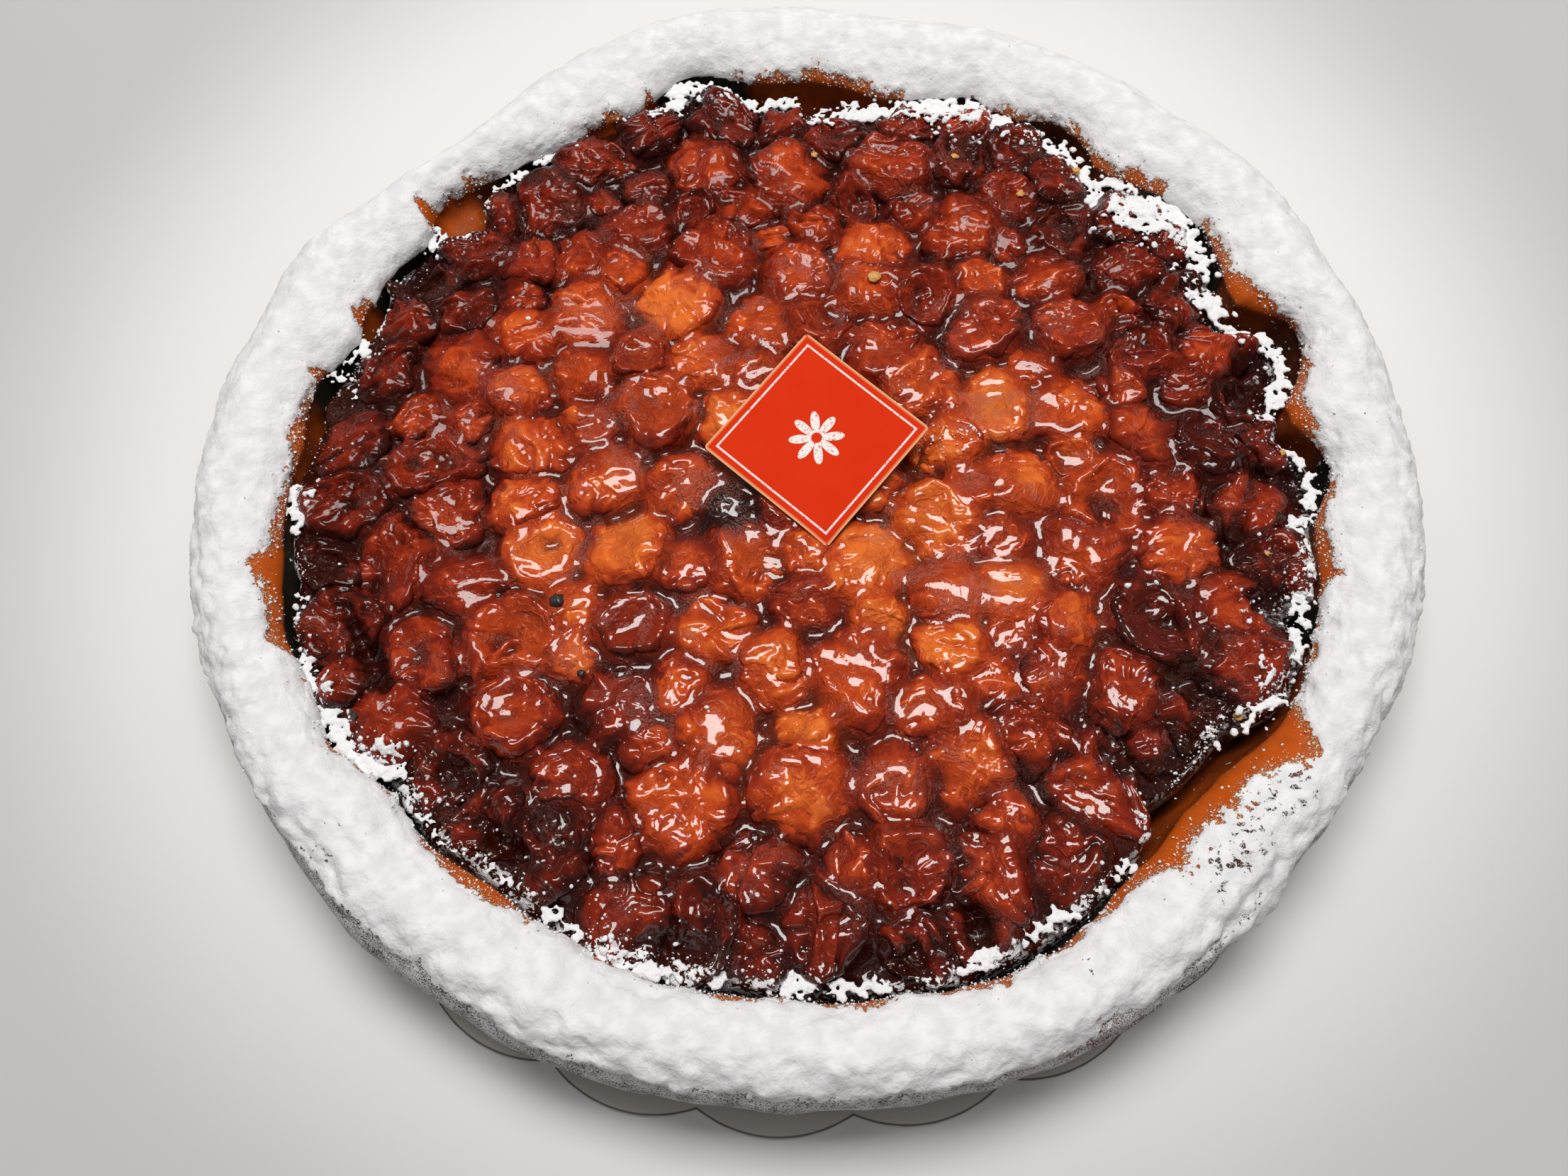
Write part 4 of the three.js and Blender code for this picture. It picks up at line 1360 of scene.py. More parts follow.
@dataclass
class CherryHeap:
    """Whole baked cherries, laid as in the solid model."""

    fill_sizes: tuple[float, ...] = (18, 17, 16, 14.5, 13, 11.5)
    tries: int = 2400
    crowding: float = 0.405
    crown: float = 2.1
    belly: float = 9.0
    swell: float = 1.2  # how far a cherry spreads where nothing stops it
    firm: float = 1.18  # how strongly the cherries that stand out spread
    meek: float = 0.95  # and the ones between them
    squareness: float = 9.0  # how sharply a cherry's outline turns between its neighbours
    overlap: float = 0.35
    brow: float = 0.87  # share of the points that lie on top
    palest: Pair = (-2, -15)  # place on the pie
    wander_size: float = 7.0
    wander: float = 2.2
    wrinkle_sizes: Triple = (3.8, 2.1, 1.2)
    crease_size: float = 7.0
    usual: float = 0.45  # mean height of the noise's ridges
    ring_at: float = 0.78  # share of the way from the dent to the outline
    ring_width: float = 0.16
    tilt: float = 0.14  # spread of the cherries' slopes
    rise: float = 0.45  # spread of their heights
    cells: int = 46
    small: float = 14.6  # cherries up to this size have fewer faces
    small_cells: int = 34
    grain: Grain = field(default_factory=lambda: Grain(7))
    folds: Folds = field(default_factory=Folds)
    laid: list[Cherry] = field(default_factory=list)

    def settle(self, x: Array, y: Array, size: Array) -> tuple[Array, Array]:
        """Moves cherries inward until they lie inside the fruit's limit."""
        reach, azimuth = np.hypot(x, y), np.arctan2(y, x)
        around = TAU * np.arange(12) / 12
        moving = np.arange(len(reach))
        while len(moving):
            rim = 0.54 * size[moving, None]
            px = (reach * np.cos(azimuth))[moving, None] + rim * np.cos(around)
            py = (reach * np.sin(azimuth))[moving, None] + rim * np.sin(around)
            limit = FRUIT_LIMIT.at(np.degrees(np.arctan2(py, px)))
            moving = moving[(np.hypot(px, py) > limit - 0.8).any(axis=1)]
            reach[moving] -= 0.5
        return reach * np.cos(azimuth), reach * np.sin(azimuth)

    def lay(self) -> list[Cherry]:
        """All the cherries: the ones that stand out, then smaller ones between them."""
        table = np.array([row[:5] for row in CHERRIES], float)
        x, y = self.settle(*table[:, :3].T.copy())
        laid = [
            Cherry(px, py, *row[2:5], form=row[5], ripe=row[6].value)
            for px, py, row in zip(x, y, CHERRIES)
        ]
        taken = [(cherry.x, cherry.y, cherry.size) for cherry in laid]
        stream = Rolling(41)
        draw = np.random.default_rng(5)
        for size in self.fill_sizes:
            reach, around, stretch, turn, kind = stream.take(5 * self.tries).reshape(-1, 5).T
            reach = LAYOUT_RADIUS * np.sqrt(reach)
            x, y = reach * np.cos(TAU * around), reach * np.sin(TAU * around)
            x, y = self.settle(x, y, np.full(self.tries, float(size)))
            for k in range(self.tries):
                there = np.array(taken)
                gap = np.hypot(there[:, 0] - x[k], there[:, 1] - y[k])
                if (gap <= self.crowding * (size + there[:, 2])).any():
                    continue
                taken.append((x[k], y[k], size))
                form = draw.choice(HOLLOW_FORMS if kind[k] < 0.4 else ROUND_FORMS)
                laid.append(Cherry(
                    x[k], y[k], size, 1 + 0.3 * stretch[k], 180 * turn[k], form,
                    max(self.usual_ripeness(x[k], y[k]) + draw.normal(0, 0.11), 0.2),
                ))
        return laid

    def usual_ripeness(self, x: float, y: float) -> float:
        """Colour of the fruit at a place: paler in the middle, darker at the rim."""
        reach = math.hypot(x - self.palest[0], y - self.palest[1])
        pale = 0.68 - 0.4 * float(ease(50, 112, np.array(reach)))
        edge = 0.16 * float(ease(88, 104, np.array(math.hypot(x, y))))
        return pale - edge

    def own_reach(self, cherry: Cherry, angle: Array) -> Array:
        """How far a cherry would reach in some directions if nothing pressed on it."""
        long = cherry.size / 2 * math.sqrt(cherry.stretch)
        short = cherry.size / 2 / math.sqrt(cherry.stretch)
        off = angle - math.radians(cherry.turn)
        return long * short / np.hypot(short * np.cos(off), long * np.sin(off))

    def push(self, index: int) -> float:
        """How strongly a cherry spreads: the ones that stand out spread the most."""
        return self.firm if index < len(CHERRIES) - 1 else self.meek

    def pressed_reach(self, index: int, angle: Array, draw: Draw) -> Array:
        """How far a cherry reaches in some directions, pressed by the ones beside it.

        Args:
            index: number of the cherry.
            angle: the directions in radians.
            draw: the cherry's random numbers.

        Returns:
            One distance in mm for each direction.
        """
        cherry = self.laid[index]
        wobble = sum(
            0.05 / math.sqrt(k) * np.cos(k * angle + draw.uniform(0, TAU)) for k in (2, 3, 4, 5)
        )
        free = self.swell * self.push(index) * self.own_reach(cherry, angle)
        inverse = (free * (1 + wobble)) ** -self.squareness
        for place, other in enumerate(self.laid):
            x, y = other.x - cherry.x, other.y - cherry.y
            away = math.hypot(x, y)
            if other is cherry or away > 0.8 * (cherry.size + other.size):
                continue
            toward = np.array([math.atan2(y, x)])
            mine = self.own_reach(cherry, toward)[0] * self.push(index)
            theirs = self.own_reach(other, toward)[0] * self.push(place)
            wall = away * mine / (mine + theirs) + self.overlap
            inverse += (np.maximum(np.cos(angle - toward[0]), 0) / wall) ** self.squareness
        return inverse ** (-1 / self.squareness)

    def centrality(self, cherry: Cherry) -> float:
        """1 for a cherry in the middle of the pie, 0 for one at its rim."""
        return 1 - (math.hypot(cherry.x, cherry.y) / LAYOUT_RADIUS) ** 2

    def dome(self, index: int, disc: Array, draw: Draw) -> Dome:
        """The smooth dome of a cherry, about the origin.

        Args:
            index: number of the cherry.
            disc: the master's points on a disc of radius 1.
            draw: the cherry's random numbers.

        Returns:
            The dome.
        """
        cherry = self.laid[index]
        share = np.hypot(disc[:, 0], disc[:, 1])
        angle = np.arctan2(disc[:, 1], disc[:, 0])
        out = np.minimum(share / self.brow, 1)
        under = np.clip((share - self.brow) / (1 - self.brow), 0, 1)
        height = (self.crown + 0.9 * self.centrality(cherry)) * (0.55 + 0.45 * cherry.size / 18)
        extent = self.pressed_reach(index, angle, draw)
        plan = extent * out * (1 - 0.14 * under**2)
        lift = height * (1 - out**2.4) ** 0.75 - self.belly * under
        points = polar(plan, angle, lift)
        points[share > 1.5] = (0, 0, lift.min())
        lean = 0.8 * out**4
        outward = polar(lean, angle, np.sqrt(1 - lean**2))
        return Dome(points, outward, extent, out, under, height)

    def grooves(self, spot: Array, lean: float, long: float) -> tuple[Array, ...]:
        """Wrinkles of the skin at some places in the noise.

        Args:
            spot: the places.
            lean: direction that the wrinkles run across, in radians.
            long: how much the noise is shortened along them.

        Returns:
            Heights of the coarse, fine and crisp wrinkles, and a value that is 0 on a crease.
        """
        across = spot @ np.array([math.cos(lean), math.sin(lean), 0.3])
        along = spot @ np.array([-math.sin(lean), math.cos(lean), 0.3])
        drawn = np.stack([across, along * long, spot[:, 2] * 0.7], axis=1)
        heights = [
            self.grain.ridges(drawn + 80 * k, size) - self.usual
            for k, size in enumerate(self.wrinkle_sizes)
        ]
        return *heights, self.grain.at(drawn + 240, self.crease_size)

    def shape(self, index: int, disc: Array) -> tuple[Array, dict[str, Array]]:
        """Points of one cherry.

        Args:
            index: number of the cherry.
            disc: the master's points on a disc of radius 1.

        Returns:
            Its points in mm and its marks for the finish.
        """
        cherry = self.laid[index]
        kind = WRINKLES[cherry.form]
        cupped = cherry.form is Form.CUPPED
        middle = self.centrality(cherry)
        draw = np.random.default_rng(1000 + index)
        dome = self.dome(index, disc, draw)
        spot = dome.points + draw.uniform(0, 200, 3)
        spot = spot + self.wander * self.grain.drift(spot, self.wander_size)
        lean = draw.uniform(0, TAU)
        flapped = kind.flap > 0.4
        coarse, fine, crisp, line = self.grooves(spot, lean, 0.4 if flapped else 0.75)
        dx, dy = (dome.points[:, :2] - draw.uniform(-0.2, 0.2, 2) * cherry.size / 2).T
        away = np.hypot(dx, dy) / dome.extent
        sunk = bell(away / 0.62, 4) if cupped else bell(away / 0.45)
        ring = bell((away - self.ring_at) / self.ring_width)
        rise = dome.height * (kind.ring * ring - kind.dent * sunk)
        spokes = np.cos(draw.integers(6, 10) * np.arctan2(dy, dx) + 2.5 * self.grain.at(spot, 5.0))
        rise += kind.pucker * spokes * away * bell(away / 0.5) * 2.2
        side = dx * math.sin(lean) - dy * math.cos(lean) + 1.8 * self.grain.at(spot, 5.5)
        body = ease(1.05, 0.55, away)
        rise += kind.flap * body * (0.5 * np.tanh(side / 0.8) - bell(side / 0.6))
        top = ease(0.9, 0.1, dome.under)
        skin = (kind.coarse * coarse + kind.fine * (fine + 0.45 * crisp)) * (0.5 + 0.5 * body)
        skin = skin * (1.9 - 0.9 * middle)
        skin += kind.crease * (0.4 * np.tanh(line / 0.13) - 0.8 * bell(line / 0.1))
        points = dome.points + dome.outward * (skin * top)[:, None]
        lean_x, lean_y = draw.normal(0, self.tilt, 2)
        points[:, 2] += (rise + lean_x * points[:, 0] + lean_y * points[:, 1]) * top
        level = SYRUP_Z + 0.5 + 0.4 * middle + draw.normal(0, self.rise)
        points += (cherry.x, cherry.y, level)
        wave = self.folds.height(points)
        points[:, 2] += wave * top
        points = self.folds.shifted(points)
        # Painted shade in the wrinkles' hollows, the dents, the folds' troughs and the creases, and
        # round each cherry's brow.
        valley_shade = np.clip(0.3 - coarse - 0.5 * fine, 0, 1) * 0.22 + 0.4 * sunk * kind.dent
        valley_shade += 0.22 * np.clip(-wave, 0, 1) + 0.3 * kind.crease * bell(line / 0.12)
        marks = {
            # Paler towards each cherry's middle, and paler on the crests of its relief and darker
            # in its creases, as painted light and shade.
            "ripe": cherry.ripe + 0.18 * ease(0.95, 0.3, away) + 0.1 * skin,
            "shade": 0.28 * ease(0.7, 1.0, dome.out) + valley_shade,
        }
        return points, marks

    def spread(self, points: Array) -> Array:
        """The points drawn outward near the rim, so that the fruit fills the crust."""
        azimuth = azimuth_of(points)
        limit = FRUIT_LIMIT.at(azimuth)
        share = np.minimum(reach_of(points) / limit, 1.04)
        factor = 1 + (FRUIT_EDGE.at(azimuth) + 0.4 - limit) / limit * share**4
        return points * np.stack([factor, factor, np.ones_like(factor)], axis=1)

    def build(self) -> list[Piece]:
        """Makes the cherries, joined into one piece for each form."""
        masters = {
            self.cells: disc_master("cherry_master", self.cells),
            self.small_cells: disc_master("small_cherry_master", self.small_cells),
        }
        kinds: dict[Form, list[Piece]] = {form: [] for form in Form}
        self.laid = self.lay()
        for index, cherry in enumerate(self.laid):
            master, disc = masters[self.cells if cherry.size > self.small else self.small_cells]
            points, marks = self.shape(index, disc)
            points = self.spread(points)
            sunk = hollow(points)
            points[:, 2] -= sunk * ease(14, 24, points[:, 2])
            roof = under_label(points) - 0.25
            points[:, 2] = np.minimum(points[:, 2], roof)
            marks["shade"] = marks["shade"] + 0.16 * sunk + 0.5 * ease(25, 19, points[:, 2])
            marks["dust"] = dust_at(points, self.grain)
            piece = copy_of(master, "cherry")
            move_points(piece, points)
            for name, values in marks.items():
                paint_points(piece, name, values)
            kinds[cherry.form].append(piece)
        for master, _ in masters.values():
            bpy.data.objects.remove(master)
        return [
            joined(pieces, f"cherries_{form.value}") for form, pieces in kinds.items() if pieces
        ]


def dust_at(points: Array, grain: Grain) -> Array:
    """How much sugar dust lies on the fruit.

    Args:
        points: places on the fruit, in mm.
        grain: the noise that breaks the dust up.

    Returns:
        From 0, none, to about 1, all white.
    """
    width = DUST_WIDTH.at(azimuth_of(points))
    band = ease(1.15, 0.0, -FRUIT_EDGE.outside(points) / width)
    clumps = 0.3 * grain.layers(points + 40, 4.0, 2)
    most = 0.5 + 0.034 * width
    return np.clip(most * band + clumps * ease(0.0, 0.4, band), 0, 1)


# ---- juice ----
@dataclass
class Relief:
    """Heights and colours of the laid cherries on a square grid of cells."""

    cell: float = 0.75
    half: float = 123.0

    def __post_init__(self) -> None:
        """Makes the empty grids."""
        self.count = int(2 * self.half / self.cell)
        self.height = np.full((self.count, self.count), -1.0)
        self.ripe = np.zeros((self.count, self.count))
        self.weight = np.zeros((self.count, self.count))

    def cells_of(self, points: Array) -> tuple[Array, Array]:
        """Row and column of the cell under each point."""
        index = ((points[:, :2] + self.half) / self.cell).astype(int).clip(0, self.count - 1)
        return index[:, 1], index[:, 0]

    def press(self, piece: Piece) -> None:
        """Adds a piece's upper points to the grids."""
        points = points_of(piece)
        ripe, shade = read_points(piece, "ripe"), read_points(piece, "shade")
        upper = points[:, 2] > SYRUP_Z - 4
        where = self.cells_of(points[upper])
        np.maximum.at(self.height, where, points[upper, 2])
        # The juice's colour takes the cherries' painted shade along with their ripeness.
        np.add.at(self.ripe, where, (ripe - 0.35 * shade)[upper])
        np.add.at(self.weight, where, 1)

    def blurred(self, grid: Array, size: float) -> Array:
        """A grid softened by a round brush of a size in mm."""
        steps = np.fft.fftfreq(self.count, self.cell)
        across, along = np.meshgrid(steps, steps)
        brush = np.exp(-2 * (math.pi * size) ** 2 * (across**2 + along**2))
        return np.real(np.fft.ifft2(np.fft.fft2(grid) * brush))

    def darken(self, piece: Piece) -> None:
        """Adds to the shade of a piece's points that lie lower than what is round them."""
        points = points_of(piece)
        level = np.where(self.height < 0, 23.4, self.height)
        sunk = self.read(self.blurred(level, 4.0), points) - points[:, 2]
        paint_points(piece, "shade", read_points(piece, "shade") + 0.42 * ease(0.1, 2.0, sunk))

    def read(self, grid: Array, points: Array) -> Array:
        """Values of a grid at some points, blended between cells."""
        spot = np.clip((points[:, :2] + self.half) / self.cell - 0.5, 0, self.count - 1.001)
        low = spot.astype(int)
        part = spot - low
        x, y = low.T
        u, v = part.T
        return (
            grid[y, x] * (1 - u) * (1 - v) + grid[y, x + 1] * u * (1 - v)
            + grid[y + 1, x] * (1 - u) * v + grid[y + 1, x + 1] * u * v
        )


@dataclass
class Juice:
    """The set juice that wets the cherries and fills the space between them."""

    relief: Relief
    cells: int = 290
    margin: float = 1.4  # how far it runs past the fruit's edge
    shoulder: float = 2.2  # depth of its rounded edge, in mm along the surface
    film: float = 0.45  # how far it lies under the softened cherries
    flooding: float = 0.75  # how much higher it stands where it ran over them
    pitting: float = 2.2  # how deep it dried away in places
    sinking: float = 0.48  # share of the fruit's hollows that it follows
    grain: Grain = field(default_factory=lambda: Grain(11))
    folds: Folds = field(default_factory=Folds)

    def surface(self, points: Array, central: Array) -> tuple[Array, dict[str, Array]]:
        """Height of the juice and its marks for the finish.

        Args:
            points: places on the pie.
            central: 1 in the middle of the pie, 0 near its edge.

        Returns:
            One height in mm for each point, and the marks.
        """
        grid = self.relief
        row, column = np.indices(grid.height.shape)
        span = np.hypot(row - grid.count / 2, column - grid.count / 2) * grid.cell
        filled = np.where(grid.height < 0, 24.6 - 1.2 * ease(40, 105, span), grid.height)
        soft = grid.read(grid.blurred(filled, 1.2), points)
        crisp = grid.read(grid.blurred(filled, 0.55), points)
        around = grid.read(grid.blurred(filled, 4.5), points)
        weight = grid.blurred(grid.weight, 1.6) + 1e-3
        ripe = grid.read(grid.blurred(grid.ripe, 1.6) / weight, points)
        patches = self.grain.layers(points + 90, 21.0, 3)
        flood = ease(-0.3, 0.6, patches + 0.4 * central) * (0.3 + 0.7 * central)
        pits = ease(0.28, 0.6, self.grain.layers(points + 150, 9.0, 2)) * (1 - 0.75 * central)
        height = soft - self.film + self.flooding * flood - self.pitting * pits
        height += 0.3 * self.folds.height(points)
        fine = self.folds.swirled(points, 8.0, 2.0)
        height += 0.14 * (self.grain.ridges(fine + 70, 2.6) - 0.45)
        height = np.minimum(height, under_label(points) - 0.3) - self.sinking * hollow(points)
        # Painted shade where the juice lies lower than round it; the depth mark also darkens it
        # where it stands over the cherries, and the bloom mark places the painted sheen towards the
        # middle.
        valley_shade = 0.8 * ease(0.1, 1.5, around - height)
        depth = np.maximum(valley_shade, 0.9 * ease(-0.1, 1.8, height - crisp))
        return height, {"ripe": ripe, "depth": depth, "bloom": central}

    def build(self) -> Piece:
        """Makes the juice as one closed mesh with a steep side."""
        piece, disc = disc_master("set_juice", self.cells)
        share = np.hypot(disc[:, 0], disc[:, 1])
        azimuth = np.degrees(np.arctan2(disc[:, 1], disc[:, 0]))
        edge, wall = FRUIT_EDGE.at(azimuth) + self.margin, self.shoulder
        reach = np.minimum(share, 1) * (edge + wall)
        over = np.maximum(reach - edge + wall, 0)
        reach = np.where(over > 0, edge - wall + over - over**2 / (4 * wall), reach)
        unit = disc / np.maximum(share, 1e-6)[:, None]
        points = np.column_stack([reach[:, None] * unit, np.zeros(len(disc))])
        central = ease(112, 50, np.hypot(points[:, 0], points[:, 1] + 12))
        height, marks = self.surface(points, central)
        plunge = ease(0.0, 2 * wall, over)
        points[:, 2] = height * (1 - plunge) + plunge * (height - 5)
        closing = share > 1.5
        points[(share > 0.9999) & ~closing, 2] = FLOOR_Z
        points[closing] = (0, 0, FLOOR_Z)
        move_points(piece, points)
        marks["shade"] = 0.12 + 0.14 * hollow(points) + 0.6 * ease(0.3, 1, plunge)
        marks["dust"] = dust_at(points, self.grain)
        for name, values in marks.items():
            paint_points(piece, name, values)
        smooth_outward(piece)
        return piece


# ---- loose sugar ----
@dataclass
class SugarDrifts:
    """Ridges and clumps of sugar on the fruit's edge and across the cracks beside it."""

    relief: Relief
    # Each ridge: its width in mm, then azimuth and radius of the points that it runs through.
    ridges: tuple[Stations, ...] = (
        ((3,), (358.4, 106.2), (361.4, 109.4), (363.8, 112.5), (366.8, 113.9), (369.8, 112.6),
         (371.3, 109.6), (372.9, 104.6)),
        ((2.6,), (343.8, 108.9), (345.8, 112.4), (348.8, 114.4), (351.8, 114.1), (354.3, 111.2),
         (355.4, 107.2)),
        ((3.6,), (14.9, 105.7), (16.8, 106.2), (18.8, 104.3), (19.5, 101.8)),
        ((3.6,), (21.8, 108.9), (24.3, 111), (26.8, 110.6), (28.7, 110.1)),
        ((3,), (22.3, 104.9), (23.8, 103.4)),
        ((8,), (29.7, 114.2), (30.7, 108.1), (33.7, 104.1), (35.7, 102.2)),
        ((6.5,), (32.2, 116.3), (32.7, 110.2), (34.7, 106.2)),
        ((3.2,), (36.7, 103.2), (39.2, 101.7), (41.7, 100.8)),
        ((3,), (37.2, 110.8), (39.2, 109.3), (41.2, 106.3), (39.7, 103.3)),
        ((3.4,), (41.7, 103.3), (43.6, 106.2), (46.6, 107.8), (50.5, 109), (53.5, 108.4),
         (56, 107.6)),
        ((6.5,), (55.5, 105.6), (58.4, 108.7), (60.4, 110.2), (61.4, 105.7)),
        ((7,), (64.8, 111.3), (65.3, 105.7), (68.3, 105.8), (70.3, 103.7)),
        ((3.6,), (70.3, 101.2), (74.2, 101.3), (77.7, 100.8), (80.1, 98.8), (84.1, 97.2)),
        ((3.2,), (85.5, 100.8), (87, 103.8), (90, 103.6), (92.9, 102.8), (95.4, 105.8)),
        ((3.4,), (95.4, 107.9), (97.8, 110.4), (100.8, 111.7), (102.8, 113.9)),
        ((5,), (102.3, 114.9), (103.3, 109.8), (103.8, 106.8)),
        ((3.4,), (105.7, 106.8), (107.2, 104.7)),
        ((4,), (117.6, 107.7), (120.5, 108.1), (124.5, 109.1)),
        ((3.2,), (141.8, 111.2), (142.5, 107.2), (143.8, 108.2)),
        ((3,), (159.7, 108.8), (162.2, 108.2), (163.2, 110.2)),
        ((2.4,), (164.2, 113.7), (165.7, 112.1), (165.5, 109.1)),
        ((2.4,), (167.1, 105.5), (168.1, 106.5)),
        ((3.2,), (180.7, 114.2), (183.2, 114.2), (186.2, 113.3)),
        ((2.6,), (182.5, 111.1), (183.1, 109.9)),
        ((2.4,), (194.2, 114.4), (197.2, 115.6), (200.3, 116.1)),
        ((3.6,), (201.8, 117.3), (205.3, 116.8), (209.3, 116.1), (212.3, 117.4), (215.4, 115.9),
         (218.4, 113.2)),
        ((3,), (215.3, 111.3), (217.3, 109.8), (219.4, 111.2)),
        ((2.2,), (221.9, 111.7), (224.4, 113.6), (227.5, 114.7), (230.5, 113)),
        ((2.2,), (232.5, 112.5), (235.1, 113.4), (237.6, 112.9)),
        ((2.6,), (239.6, 114.9), (242.7, 115.4), (245.7, 116.2), (249.2, 117.6)),
        ((3,), (248.7, 118.1), (252.8, 118.1), (255.8, 117.4), (259.4, 117.1)),
        ((3,), (261.9, 117), (265, 117.7), (268, 117.3)),
        ((2.8,), (269, 118.5), (272.1, 118.4), (275.1, 118.7)),
        ((2.8,), (281.2, 119.3), (283.2, 118.2), (285.7, 117), (286.8, 116.3)),
        ((3,), (287.8, 117.2), (290.3, 117.3), (293.3, 116.9)),
        ((2.6,), (297.4, 115.2), (299.4, 114.6), (301.5, 114.3)),
        ((2.2,), (316.3, 109.7), (317.1, 110.7)),
        ((3,), (320.2, 112.9), (322.7, 113.6), (324.7, 113.2), (326.7, 112)),
        ((2.6,), (342.3, 112.9), (344.3, 111.4), (345.8, 109.9)),
        ((2.8,), (328.5, 116.2), (331.5, 115.6), (334.4, 114.2), (337.2, 115.4)),
        ((2.4,), (322.6, 115.2), (325.6, 116.6)),
        ((2.4,), (125.5, 106.4), (128.5, 107.2), (131.5, 108.8)),
    )
    voxel: float = 0.34
    closeness: float = 3.2  # balls for each mm of a ridge's length and width
    spread: float = 0.42  # share of a ridge's width
    biggest: float = 3.6
    smallest: float = 0.48

    def build(self) -> Piece:
        """Makes the drifts from many flattened balls that are fused and roughened."""
        draw = np.random.default_rng(21)
        places, sizes = [], []
        for (width,), *path in self.ridges:
            azimuth, radius = np.array(path).T
            x, y, _ = polar(radius, np.radians(azimuth)).T
            steps = np.hypot(np.diff(x), np.diff(y))
            run = np.concatenate([[0], np.cumsum(steps)])
            count = int(run[-1] * self.closeness * width) + 4
            t = draw.uniform(0, run[-1], count)
            px = np.interp(t, run, x) + draw.normal(0, width * self.spread, count)
            py = np.interp(t, run, y) + draw.normal(0, width * self.spread, count)
            balls = draw.uniform(0.25, 1.0, count) ** 2.6 * min(width, self.biggest) * 0.5
            places.append(np.column_stack([px, py, 0.25 * balls]))
            sizes.append(np.maximum(balls, self.smallest))
        places, sizes = np.concatenate(places), np.concatenate(sizes)
        piece = strewn(ball("ball", 0.62, 2), "sugar_drifts", places, sizes, 22)
        points = points_of(piece)
        ground = self.relief.read(self.relief.blurred(self.relief.height, 1.5), points)
        points[:, 2] = np.clip(ground, 24.0, 28.0) + 0.3 + 0.6 * points[:, 2]
        move_points(piece, points)
        apply_modifier(piece, "REMESH", mode="VOXEL", voxel_size=self.voxel * MM)
        apply_modifier(piece, "SMOOTH", factor=0.5, iterations=1)
        roughen(piece, 1.4, 0.2)
        roughen(piece, 0.6, 0.16)
        select_only(piece)
        bpy.ops.object.shade_smooth()
        return piece


@dataclass
class SugarGrains:
    """Small clumps of sugar strewn on the rim, its bare edge and the fruit beside it."""

    relief: Relief
    crust: Piece
    on_rim: int = 300
    on_edge: int = 6400
    on_fruit: int = 2800
    tries: int = 30000
    large: int = 130
    strays: int = 260
    clusters: Stations = (  # x and y, their spreads in mm, and the number of grains
        (36, -3, 5, 3, 40), (86, -8, 1.2, 1.2, 8), (93, -24, 1, 1, 6), (65, -11, 2, 1, 5),
        (-72, -74, 3, 2, 5), (30, -2, 2, 1.5, 14),
    )

    def clump(self) -> Piece:
        """One uneven clump, about 1 mm across, of few faces."""
        piece = ball("clump", 0.5, 1)
        shape = points_of(piece)
        move_points(piece, shape * np.random.default_rng(2).uniform(0.75, 1.15, (len(shape), 1)))
        return piece

    def build(self) -> list[Piece]:
        """Makes the grains on the rim and those on the fruit."""
        draw = np.random.default_rng(31)
        return [self.build_rim(draw), self.build_fruit(draw)]

    def build_rim(self, draw: Draw) -> Piece:
        """Makes the grains on the rim and on the edge of its thick sugar."""
        points = points_of(self.crust)
        chance = read_points(self.crust, "cover") * (points[:, 2] > 18)
        rim = draw.choice(len(points), self.on_rim, p=chance / chance.sum())
        chance = bell((SUGAR_EDGE.outside(points) + 1.2) / 1.5) * (points[:, 2] > 25)
        edge = draw.choice(len(points), self.on_edge, p=chance / chance.sum())
        chosen = np.concatenate([rim, edge])
        sizes = np.concatenate([
            draw.uniform(0.3, 1.0, self.on_rim) ** 3 * 0.5 + 0.2,
            draw.uniform(0.3, 1.0, self.on_edge) ** 5 * 0.55 + 0.16,
        ])
        places = points[chosen] + draw.normal(0, 0.3, (len(chosen), 3))
        places[:, 2] -= 0.25 * sizes
        return strewn(self.clump(), "sugar_grains_rim", places, sizes, 32)

    def build_fruit(self, draw: Draw) -> Piece:
        """Makes the grains on the fruit, most of them near its edge."""
        around = draw.uniform(0, 360, self.tries)
        width = DUST_WIDTH.at(around)
        inward = draw.exponential(0.5, self.tries) * width
        keep = draw.uniform(0, 9, self.tries) < width
        around, inward = around[keep][:self.on_fruit], inward[keep][:self.on_fruit]
        spot = polar(FRUIT_EDGE.at(around) - inward, np.radians(around))
        spot = np.concatenate([spot, self.stray(draw)])
        height = self.relief.blurred(np.maximum(self.relief.height, 21), 0.6)
        spot[:, 2] = self.relief.read(height, spot) + 0.12
        sizes = draw.uniform(0.2, 1.0, len(spot)) ** 5 * 0.7 + 0.24
        large = draw.choice(len(spot), self.large, replace=False)
        sizes[large] = draw.uniform(0.9, 1.7, self.large)
        return strewn(self.clump(), "sugar_grains_fruit", spot, sizes, 33)

    def stray(self, draw: Draw) -> Array:
        """Places of the grains that fell far from the rim."""
        spots = [
            np.column_stack([draw.normal(x, sx, n), draw.normal(y, sy, n), np.zeros(n)])
            for x, y, sx, sy, n in self.clusters
        ]
        angle = draw.uniform(0, TAU, self.strays)
        spots.append(polar(draw.uniform(60, 112, self.strays), angle))
        return np.concatenate(spots)


